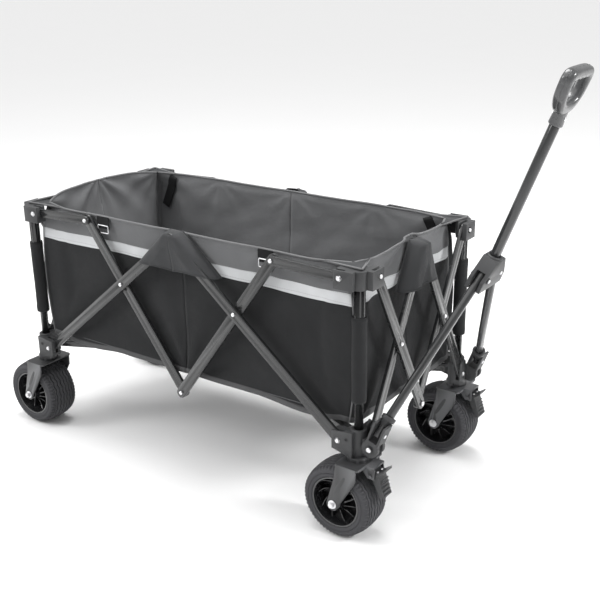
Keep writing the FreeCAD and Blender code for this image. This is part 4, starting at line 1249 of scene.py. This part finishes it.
def long_wall_point(sx, sy, x, height):
    """A point of a long wall, from the middle of the wagon."""
    cloth = props().cloth
    share = (cloth.rim_height - height) / (cloth.rim_height - TUB_LOW.z)
    strap = STRAP_X[sx]
    end_bow = 0.006 + 0.014 * math.sin(math.pi * min(1.0, share)) ** 0.8
    stretch = 1 + (end_bow - 0.006 * (1 - share) ** 3) * (x / LONG_WALL_END) ** 4 / LONG_WALL_END
    across = x * stretch
    held = [
        (strap, cloth.rim_height, 0.11, 0.0012, 9, 0.5), (0.0, cloth.rim_height, 0.12, 0.0010, 10, 1.1),
        (LONG_WALL_END, cloth.rim_height, 0.15, 0.0030, 9, 0.0),
        (LONG_WALL_END, TUB_LOW.z, 0.20, 0.0034, 12, 0.8),
        (0.0, TUB_LOW.z, 0.24, 0.0030, 11, 2.0),
    ]
    inward = 0.0075 * math.sin(math.pi * share) ** 1.2
    inward += pulls(x, height, held) + 0.0034
    inward += 0.0050 * crumple(x * sx, sy, height, 3.1) * math.sin(math.pi * min(1, share + 0.12))
    ripple = noise.noise(Vector((x * sx * 9 + height * 14, height * 26 - x * sx * 11, sy)))
    inward += 0.0016 * ripple * settled(share, 0.02, 0.2)
    if x < strap:
        scallop = math.sin(math.pi * abs(x - strap * 0.5) / strap)
    else:
        scallop = math.sin(math.pi * (x - strap) / 0.19)
    inward += 0.0018 * (0.5 + 0.5 * scallop) * math.exp(-((share - 0.12) / 0.12) ** 2)
    inward = max(0.0006, inward) * settled(share, -0.02, 0.05) + 0.0006
    inward = min(inward, 0.0042 + 0.02 * (1 - settled(x, 0.32, 0.40)))
    inward += 0.026 * settled(x, 0.34, 0.48) * max(0.0, 1 - share / 0.13) ** 1.2
    sag = 0.010 * share * settled(x, 0.20, 0.33) * (1 - settled(x, 0.365, 0.425))
    z = height + rim_rise(x) * (1 - share) - sag - RIM_DROP
    return spot(sx * across, sy * (TUB_WIDTH - CLOTH_GAP - inward), z)


def short_rim(sx, y):
    """(rise, inboard) of a short side's rim: the front slumps beside its middle, the rear bows outward."""
    if sx < 0:
        arch = math.cos(math.pi / 2 * min(1.0, abs(y) / SHORT_WALL_END))
        return 0.013 * arch ** 0.8, -0.013 * arch ** 0.7
    middle = math.exp(-((y / 0.045) ** 2))
    beside = math.exp(-(((abs(y) - 0.115) / 0.045) ** 2))
    return 0.011 * middle - 0.0045 * beside, 0.004 * middle + 0.011 * beside


def short_wall_point(sx, sy, y, height):
    """A point of a short wall, from the middle of the wagon."""
    cloth = props().cloth
    share = (cloth.rim_height - height) / (cloth.rim_height - TUB_LOW.z)
    rise, inboard = short_rim(sx, y)
    upper = (1 - share) ** 2.2
    inboard += 0.026 * settled(y, 0.12, 0.23) * max(0.0, 1 - share / 0.16) ** 1.3 / max(0.05, upper)
    held = [
        (0.0, cloth.rim_height + 0.01, 0.10, 0.0050, 11, 0.4),
        (SHORT_WALL_END, cloth.rim_height, 0.11, 0.0036, 9, 0.2),
        (SHORT_WALL_END, TUB_LOW.z, 0.14, 0.0030, 9, 0.9), (0.0, TUB_LOW.z, 0.16, 0.0026, 9, 2.0),
    ]
    inward = 0.006 * math.sin(math.pi * share) + inboard * upper + pulls(y, height, held)
    inward += 0.0055 * crumple(y * sy * 1.6, sx, height, 8.4) * math.sin(math.pi * min(1, share + 0.2))
    ripple = 0.0040 * math.sin(y * 62 + height * 40) * math.exp(-((share - 0.16) / 0.13) ** 2)
    inward += ripple * settled(y, 0.01, 0.05)
    inward = max(-0.014 if sx < 0 else -0.004, inward)
    return spot(sx * (TUB_LENGTH - CLOTH_GAP - inward), sy * y, height + rise * upper - RIM_DROP)


class WAGON_OT_walls(bpy.types.Operator):
    """Fabric walls of the basket, with their piping, hems and corner gussets"""
    bl_idname = "wagon.walls"
    bl_label = "Basket walls"

    def execute(self, context):
        rows, kinds = cloth_rows()
        height = rows[0] - rows[-1]
        first = None
        for name, (sx, sy) in CORNERS.items():
            body = "upper_" + name
            fold_x = {"axis": (1, 0, 0), "anchor": spot(sx * LONG_WALL_END, 0, 0), "keep": LONG_KEEP}
            fold_y = {"axis": (0, 1, 0), "anchor": spot(0, sy * SHORT_WALL_END, 0), "keep": SHORT_KEEP}
            long_place = partial(long_wall_point, sx, sy)
            short_place = partial(short_wall_point, sx, sy)
            long_wall = cloth_piece(
                "long_wall_" + name, spread(0.0, LONG_WALL_END, 60), rows, long_place, kinds, body, LEFT * sy)
            short_wall = cloth_piece(
                "short_wall_" + name, spread(0.0, SHORT_WALL_END, 34), rows, short_place, kinds, body,
                FORWARD * sx)
            gusset = self.gusset(name, sx, sy, rows, kinds, body)
            long_trim = self.trim("long_piping_" + name, body, long_place, LONG_WALL_END, rows, 60)
            short_trim = self.trim("short_piping_" + name, body, short_place, SHORT_WALL_END, rows, 34)
            self.long_hem(name, sx, sy, body, long_wall, long_trim, fold_x)
            folded = ((long_wall, fold_x), (long_trim, fold_x), (short_wall, fold_y), (short_trim, fold_y))
            for piece, fold in folded:
                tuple(fold["axis"])
                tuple(fold["anchor"])
                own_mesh(piece)
            first = first or long_wall
        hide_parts("basket")
        return {"FINISHED"}

    def gusset(self, name, sx, sy, rows, kinds, body):
        """Cut corner between a long wall and a short wall, dark up to its rim."""
        dark = [LOWER if kind in (BAND, STRIPE) else kind for kind in kinds]
        place = partial(self.gusset_point, sx, sy)
        return cloth_piece(
            "gusset_" + name, spread(0.0, 1.0, 8), rows, place, dark, body, Vector((sx, sy, 0)))

    def gusset_point(self, sx, sy, share, height):
        """A point of a gusset, which is bowed towards the post."""
        start = long_wall_point(sx, sy, LONG_WALL_END, height)
        end = short_wall_point(sx, sy, SHORT_WALL_END, height)
        bow = 0.0055 * math.sin(math.pi * share)
        out = Vector((sx * 0.75, sy * 0.66, 0))
        return start.lerp(end, share) + out * bow

    def trim(self, name, body, place, end, rows, count):
        """Piping along the top edge and down the outer edge of a wall."""
        top = [place(u, rows[0]) + UP * 0.0012 for u in spread(0.0, end, count)]
        side = [place(end, z) for z in rows[1:]]
        bm = bmesh.new()
        sweep(bm, top, circle(0.0027, 10), level=UP)
        sweep(bm, side, circle(0.0017, 8), level=FORWARD + LEFT)
        return finished(name, bm, [piping_tape()], body)

    def long_hem(self, name, sx, sy, body, wall, trim, fold):
        """Rolled binding along the bottom of a long wall."""
        low = TUB_LOW.z
        path = [long_wall_point(sx, sy, x, low) + UP * 0.0062 for x in spread(0.0, LONG_WALL_END, 50)]
        bm = bmesh.new()
        sweep(bm, path, flat_section(0.0026, 0.0128, 3.0, 12), level=UP)
        hem = finished("long_hem_" + name, bm, [hem_tape()], body)
        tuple(fold["axis"])
        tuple(fold["anchor"])
        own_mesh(hem)


class WAGON_OT_floor(bpy.types.Operator):
    """Fabric floor: a stiffened middle and two side strips at each end"""
    bl_idname = "wagon.basket_floor"
    bl_label = "Basket floor"

    def execute(self, context):
        seam = 0.086
        level = TUB_LOW.z + 0.0015
        reach = TUB_LENGTH - 0.006
        middle = self.panel("floor_board", (-reach, reach), (-seam, seam), level, "root", 60, 16)
        spot(0, 0, 0)
        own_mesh(middle)
        for name, (sx, sy) in CORNERS.items():
            side_level = level + (0.0045 if sy > 0 else 0.0085)
            x = sorted((0.0, sx * (LONG_WALL_END - 0.026)))
            y = sorted((sy * seam, sy * (TUB_WIDTH - 0.006)))
            strip = self.panel("floor_side_" + name, x, y, side_level, "upper_" + name, 36, 14)
            spot(sx * LONG_WALL_END, 0, 0)
            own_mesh(strip)
        return {"FINISHED"}

    def panel(self, name, x, y, level, body, along, across):
        """A flat piece of the floor between two x and two y values."""
        bm = bmesh.new()
        grid = []
        for a in spread(x[0], x[1], along):
            row = []
            for b in spread(y[0], y[1], across):
                row.append(bm.verts.new(spot(a, b, level + 0.0010 * crumple(a, b, 0.2, 5.0))))
            grid.append(row)
        for first, second in zip(grid, grid[1:]):
            for k in range(across):
                bm.faces.new([first[k], second[k], second[k + 1], first[k + 1]])
        piece = finished(name, bm, [floor_cloth()], body)
        thicken(piece, props().cloth.thickness)
        return piece


class WAGON_OT_flaps(bpy.types.Operator):
    """Covers over the tops of the crossed bars"""
    bl_idname = "wagon.flaps"
    bl_label = "Scissor covers"

    def execute(self, context):
        for name, (sx, sy) in CORNERS.items():
            self.long_flap(name, sx, sy)
            self.short_flap(name, sx, sy)
        return {"FINISHED"}

    def cover(self, name, body, place, normal, half, height, depth, press, seed):
        """Half of a cover: it bulges over the bars and falls back to the wall at its slanted edge.

        half, height and depth are pairs: half width at top and bottom, heights of both, and the depths
        at the edge and over the bars. press is how far the cloth sinks between the bars, the width
        between them and the share of the height where it starts.
        """
        (half_top, half_low), (top, low), (back, front), (sink, clear, start) = half, height, depth, press
        bm = bmesh.new()
        across, down = 22, 24
        grid = []
        for r in range(down + 1):
            drop = r / down
            width = half_top + (half_low - half_top) * drop ** 0.92
            row = []
            for c in range(across + 1):
                share = c / across
                u = width * share
                bulge = (1 - share ** 5) ** 0.55 if share < 1 else 0.0
                swell = settled(drop, -0.03, 0.09)
                out = back + (front - back) * bulge * swell
                between = clear * (drop - start) / (1 - start)
                if u < between:
                    out -= sink * settled(drop, start, 1.0) * (1 - (u / between) ** 2)
                crease = 0.0014 * math.sin(share * 9 + drop * 4 + seed) * math.sin(math.pi * share) * drop
                crease += 0.0012 * crumple(u * 2.2, drop, seed, 1.3) * math.sin(math.pi * share)
                z = top + (low - top) * drop + 0.004 * math.sin(math.pi * share) * drop
                row.append(bm.verts.new(place(u, out + crease * swell, z)))
            grid.append(row)
        for first, second in zip(grid, grid[1:]):
            for c in range(across):
                bm.faces.new([first[c], second[c], second[c + 1], first[c + 1]])
        bm.normal_update()
        if list(bm.faces)[across * 12].normal.dot(normal) < 0:
            bmesh.ops.reverse_faces(bm, faces=bm.faces)
        spots = [[vert.co.copy() for vert in row] for row in grid]
        piece = finished(name, bm, [flap_cloth()], body)
        thicken(piece, props().cloth.thickness)
        edge = bmesh.new()
        sweep(edge, [row[-1] for row in spots], circle(0.0015, 8), level=normal)
        sweep(edge, spots[-1], circle(0.0015, 8), level=UP)
        binding = finished(name.replace("flap", "flap_edge"), edge, [flap_cloth()], body)
        return piece, binding

    def long_flap(self, name, sx, sy):
        """Cover over the side bars' top."""
        body = "side_bar_" + name
        bars_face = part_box("side_bar_front_left")[1].y + 0.0025
        half_low = 0.124 if sx > 0 else 0.114
        piece, binding = self.cover(
            "long_flap_" + name, body, lambda u, out, z: spot(sx * u, sy * out, z), LEFT * sy,
            half=(0.016, half_low), height=(props().cloth.rim_height + 0.0055, props().cloth.stripe_low),
            depth=(TUB_WIDTH + 0.0012, bars_face), press=(0.009, 0.064, 0.25), seed=1.7)
        slope = Vector((sx * (LOW_PIVOT.x - MIDDLE), 0, LOW_PIVOT.z - APEX_Z)).normalized()
        self.settle(piece, binding, (0.135, 0.118), LEFT.cross(slope), spot(0, 0, APEX_Z), body)

    def short_flap(self, name, sx, sy):
        """Cover over the end bars' top."""
        body = "end_low_bar_" + name
        pivot = joint_place("end_low_bar_turn_front_left")
        bars_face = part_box("end_low_bar_front_left")[1].x - MIDDLE + 0.0015
        back = 0.0165 if sx < 0 else 0.005
        piece, binding = self.cover(
            "short_flap_" + name, body, lambda u, out, z: spot(sx * out, sy * u, z), FORWARD * sx,
            half=(0.015, 0.069), height=(props().cloth.rim_height + 0.0080, 0.500),
            depth=(TUB_LENGTH + back, bars_face), press=(0.014, 0.023, 0.42), seed=4.2)
        slope = Vector((0, sy * pivot.y, pivot.z - END_APEX_Z)).normalized()
        self.settle(piece, binding, (0.09, 0.108), FORWARD.cross(slope), spot(0, 0, END_APEX_Z), body)

    def settle(self, piece, binding, flat, across, anchor, holder):
        """Gives a cover and its binding meshes of their own."""
        for soft in (piece, binding):
            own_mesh(soft)


class WAGON_OT_straps(bpy.types.Operator):
    """Webbing tabs under the rim with their wire rings, and straps inside near the corners"""
    bl_idname = "wagon.straps"
    bl_label = "Straps and rings"

    def execute(self, context):
        for name, (sx, sy) in CORNERS.items():
            self.tab(name, sx, sy)
            self.inner_strap(name, sx, sy)
        return {"FINISHED"}

    def ribbon(self, name, path, width, body):
        """Webbing along a path, its width along the wagon."""
        section = flat_section(width, 0.0018, 6.0, 20)
        bm = bmesh.new()
        rings = []
        for k, here in enumerate(path):
            ahead = (path[min(k + 1, len(path) - 1)] - path[max(k - 1, 0)]).normalized()
            side = (FORWARD - ahead * FORWARD.dot(ahead)).normalized()
            out = side.cross(ahead)
            rings.append([bm.verts.new(here + side * a + out * b) for a, b in section])
        fill(bm, rings, around=True)
        bm.faces.new(list(reversed(rings[0])))
        bm.faces.new(rings[-1])
        bmesh.ops.recalc_face_normals(bm, faces=bm.faces)
        return finished(name, bm, [strap_webbing()], body)

    def tab(self, name, sx, sy):
        """Tab that hangs outside from the rim, with its wire ring."""
        x, width = STRAP_X[sx], 0.040
        rim = long_wall_point(sx, sy, x, props().cloth.rim_height)
        side = [
            (0.0030, -0.0270), (0.0030, -0.0180), (0.0030, -0.0090), (0.0028, -0.0030), (0.0022, 0.0006),
            (0.0010, 0.0016),
        ]
        path = rounded([rim + LEFT * (sy * out) + UP * rise for out, rise in side], 2)
        tab = self.ribbon("strap_tab_" + name, path, width, "upper_" + name)
        low, high = rim.z - 0.0375, rim.z - 0.0195
        depth = abs(rim.y) + 0.0046
        half = 0.0165
        corners = [(-half, high), (half, high), (half, low), (-half, low)]
        path = self.eased([Vector((rim.x + a, sy * depth, z)) for a, z in corners], 0.003)
        wire = bmesh.new()
        sweep(wire, path, circle(0.00125, 8), closed=True, level=LEFT)
        ring = finished("strap_ring_" + name, wire, [bright_zinc()], "upper_" + name)
        self.fold(sx, tab, ring)

    def inner_strap(self, name, sx, sy):
        """Strap sewn under the rim inside, hanging slanted towards the corner."""
        start_x, end_x, steps = 0.392, 0.418, 14
        path = []
        for k in range(steps + 1):
            share = k / steps
            x = start_x + (end_x - start_x) * share
            height = props().cloth.rim_height - 0.004 - 0.088 * share
            path.append(long_wall_point(sx, sy, x, height) - LEFT * (sy * (0.0036 + 0.004 * share)))
        width, length = 0.026, 0.090
        strap = self.ribbon("inner_strap_" + name, path, width, "upper_" + name)
        self.fold(sx, strap)

    def fold(self, sx, *pieces):
        """Gives pieces of webbing meshes of their own."""
        for piece in pieces:
            spot(sx * LONG_WALL_END, 0, 0)
            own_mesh(piece)

    def eased(self, corners, radius):
        """A closed loop with round corners."""
        path = []
        count = len(corners)
        for i, here in enumerate(corners):
            before = (corners[i - 1] - here).normalized() * radius
            after = (corners[(i + 1) % count] - here).normalized() * radius
            for k in range(6):
                share = k / 5
                path.append(here + before * (1 - share) ** 2 + after * share ** 2)
        return path


class WAGON_OT_sleeves(bpy.types.Operator):
    """Fabric sleeves round the posts and covers over the rim's corners"""
    bl_idname = "wagon.sleeves"
    bl_label = "Sleeves and corner covers"

    def execute(self, context):
        for name, (sx, sy) in CORNERS.items():
            self.sleeve(name, sx, sy)
            self.corner_cover(name, sx, sy)
        return {"FINISHED"}

    def sleeve(self, name, sx, sy):
        """Sleeve round a post, a little thicker at its two sewn ends."""
        low, high, radius = 0.311, 0.495, 0.0152
        rows, sides = 28, 36
        bm = bmesh.new()
        rings = []
        for r in range(rows + 1):
            z = low + (high - low) * r / rows
            sewn = 0.0005 if r in (1, 2, rows - 2, rows - 1) else 0.0
            ring = []
            for k in range(sides):
                turn = 2 * math.pi * k / sides
                swell = 0.0006 * crumple(math.cos(turn) * 0.3, math.sin(turn) * 0.3, z * 2, 2.0 + sx + sy)
                reach = radius + (swell + sewn)
                x = sx * POST_X + reach * math.cos(turn)
                y = sy * POST_Y + reach * math.sin(turn)
                ring.append(bm.verts.new(spot(x, y, z)))
            rings.append(ring)
        fill(bm, rings, around=True)
        piece = finished("post_sleeve_" + name, bm, [lower_cloth()], "upper_" + name)
        thicken(piece, 0.0016)

    def corner_cover(self, name, sx, sy):
        """Small cover from the rounded corner of the rim out to the bracket, piped along its outer edge; its
        dark cloth is partly the flaps' own colour and partly painted shade for the shadow inside the corner.
        """
        rim = props().cloth.rim_height
        top = rim + 0.0018
        inner = [long_wall_point(sx, sy, x, rim) for x in spread(0.385, LONG_WALL_END, 8)]
        inner += [short_wall_point(sx, sy, y, rim) for y in spread(SHORT_WALL_END, 0.150, 6)]
        tip = spot(sx * (POST_X + 0.008), sy * (POST_Y + 0.0045), top)
        halves = len(inner) // 2
        outer = [inner[0].lerp(tip, k / halves) for k in range(halves)]
        outer += [tip.lerp(inner[-1], k / (len(inner) - 1 - halves)) for k in range(len(inner) - halves)]
        bm = bmesh.new()
        rows = []
        for r in range(7):
            share = r / 6
            row = []
            for start, end in zip(inner, outer):
                here = start.lerp(end, share)
                dip = 0.0035 * math.sin(math.pi * share)
                here.z = max(start.z, top - 0.0004) * (1 - share) + top * share - dip
                row.append(bm.verts.new(here))
            rows.append(row)
        fill(bm, rows)
        bmesh.ops.remove_doubles(bm, verts=bm.verts, dist=1e-5)
        area = sum(face.calc_area() for face in bm.faces)
        bm.normal_update()
        if sum(face.normal.z for face in bm.faces) < 0:
            bmesh.ops.reverse_faces(bm, faces=bm.faces)
        # Dark flap cloth: partly the cloth's own colour, partly painted shade for the shadow inside the
        # corner.
        cover = finished("corner_cover_" + name, bm, [flap_cloth()], "upper_" + name)
        thicken(cover, props().cloth.thickness)
        edge = bmesh.new()
        path = rounded([here + UP * 0.0006 for here in outer], 2)
        sweep(edge, path, circle(0.0024, 10), level=UP)
        piping = finished("corner_piping_" + name, edge, [piping_tape()], "upper_" + name)


# Stage

CAMERA_PLACE = (1.3280, -1.7633, 1.1983)


class WAGON_OT_stage(bpy.types.Operator):
    """Pale floor, soft light and camera"""
    bl_idname = "wagon.stage"
    bl_label = "Stage"

    def execute(self, context):
        stage = props().stage
        self.camera(stage)
        self.floor(stage)
        self.light("over", (-0.3, 0.3, 3.0), (0.0, 0.0, 0.4), 1.8, 70)
        self.light("right", (3.0, 0.6, 2.2), (0.1, 0.0, 0.4), 0.8, 75)
        self.light("left", (-2.6, -2.4, 2.4), (0.0, 0.0, 0.5), 1.2, 45)
        self.daylight()
        world = bpy.data.worlds.new("studio")
        world.use_nodes = True
        background = world.node_tree.nodes["Background"]
        background.inputs["Color"].default_value = (1.0, 1.0, 1.0, 1)
        background.inputs["Strength"].default_value = 0.52
        bpy.context.scene.world = world
        bpy.context.scene.view_settings.view_transform = "Standard"
        return {"FINISHED"}

    def camera(self, stage):
        """Camera in front of the wagon and to its right, looking down at it."""
        data = bpy.data.cameras.new("camera")
        data.lens = stage.lens
        data.sensor_width = 36
        data.shift_x = 0.0032
        data.shift_y = -0.0075
        data.dof.use_dof = False
        camera = bpy.data.objects.new("camera", data)
        bpy.context.scene.collection.objects.link(camera)
        az, el = stage.azimuth, stage.elevation
        back = Vector((math.sin(az) * math.cos(el), -math.cos(az) * math.cos(el), math.sin(el)))
        right = Vector((math.cos(az), math.sin(az), 0))
        up = back.cross(right)
        c, s = math.cos(stage.roll), math.sin(stage.roll)
        x, y = right * c + up * s, up * c - right * s
        turn = Matrix((x, y, back)).transposed().to_4x4()
        camera.matrix_world = Matrix.Translation(CAMERA_PLACE) @ turn
        bpy.context.scene.camera = camera

    def floor(self, stage):
        """A plain pale floor."""
        bm = bmesh.new()
        half = 90.0
        corners = [(-half, -half), (half, -half), (half, half), (-half, half)]
        bm.faces.new([bm.verts.new((x, y, 0)) for x, y in corners])
        bmesh.ops.subdivide_edges(bm, edges=bm.edges, cuts=6, use_grid_fill=True)
        finish = Finish("pale_floor", Roughness=0.9)
        base = tuple(stage.floor)
        finish.set(Base_Color=finish.mix(finish.noise(2.0, 2), tint(base, 0.99), base))
        mesh = bpy.data.meshes.new("floor")
        bm.to_mesh(mesh)
        bm.free()
        mesh.materials.append(finish.done())
        floor = bpy.data.objects.new("floor", mesh)
        bpy.context.scene.collection.objects.link(floor)

    def daylight(self):
        """Very soft light from above that keeps the whole floor bright."""
        data = bpy.data.lights.new("daylight", "SUN")
        data.energy = 1.6
        data.angle = math.radians(75)
        lamp = bpy.data.objects.new("daylight", data)
        lamp.rotation_mode = "QUATERNION"
        lamp.rotation_quaternion = Vector((0.35, 0.45, -1.0)).to_track_quat("-Z", "Y")
        bpy.context.scene.collection.objects.link(lamp)

    def light(self, name, place, target, size, power):
        """A round soft light that points at a target."""
        data = bpy.data.lights.new(name, "AREA")
        data.shape = "DISK"
        data.size = size
        data.energy = power
        lamp = bpy.data.objects.new(name, data)
        lamp.location = place
        lamp.rotation_mode = "QUATERNION"
        lamp.rotation_quaternion = (Vector(target) - Vector(place)).to_track_quat("-Z", "Y")
        bpy.context.scene.collection.objects.link(lamp)


class WAGON_PT_panel(bpy.types.Panel):
    """The steps that build the wagon"""
    bl_idname = "WAGON_PT_panel"
    bl_label = "Folding wagon"
    bl_space_type = "VIEW_3D"
    bl_region_type = "UI"
    bl_category = "Wagon"

    def draw(self, context):
        for step in STEPS:
            self.layout.operator(step.bl_idname)
        for group in ("paint", "cloth", "wheels", "stage"):
            settings = getattr(context.scene.wagon, group)
            column = self.layout.column()
            for key in settings.__annotations__:
                column.prop(settings, key)


STEPS = (
    WAGON_OT_stage, WAGON_OT_bars, WAGON_OT_brackets, WAGON_OT_wheels, WAGON_OT_brakes, WAGON_OT_handle,
    WAGON_OT_walls, WAGON_OT_floor, WAGON_OT_flaps, WAGON_OT_straps, WAGON_OT_sleeves,
)
CLASSES = (PaintProps, ClothProps, WheelProps, StageProps, WagonProps, *STEPS, WAGON_PT_panel)


def register():
    for each in CLASSES:
        bpy.utils.register_class(each)
    bpy.types.Scene.wagon = PointerProperty(type=WagonProps)


def unregister():
    del bpy.types.Scene.wagon
    for each in reversed(CLASSES):
        bpy.utils.unregister_class(each)


def main():
    register()
    for step in STEPS:
        group, action = step.bl_idname.split(".")
        getattr(getattr(bpy.ops, group), action)()
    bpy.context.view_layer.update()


if __name__ == "__main__":
    main()
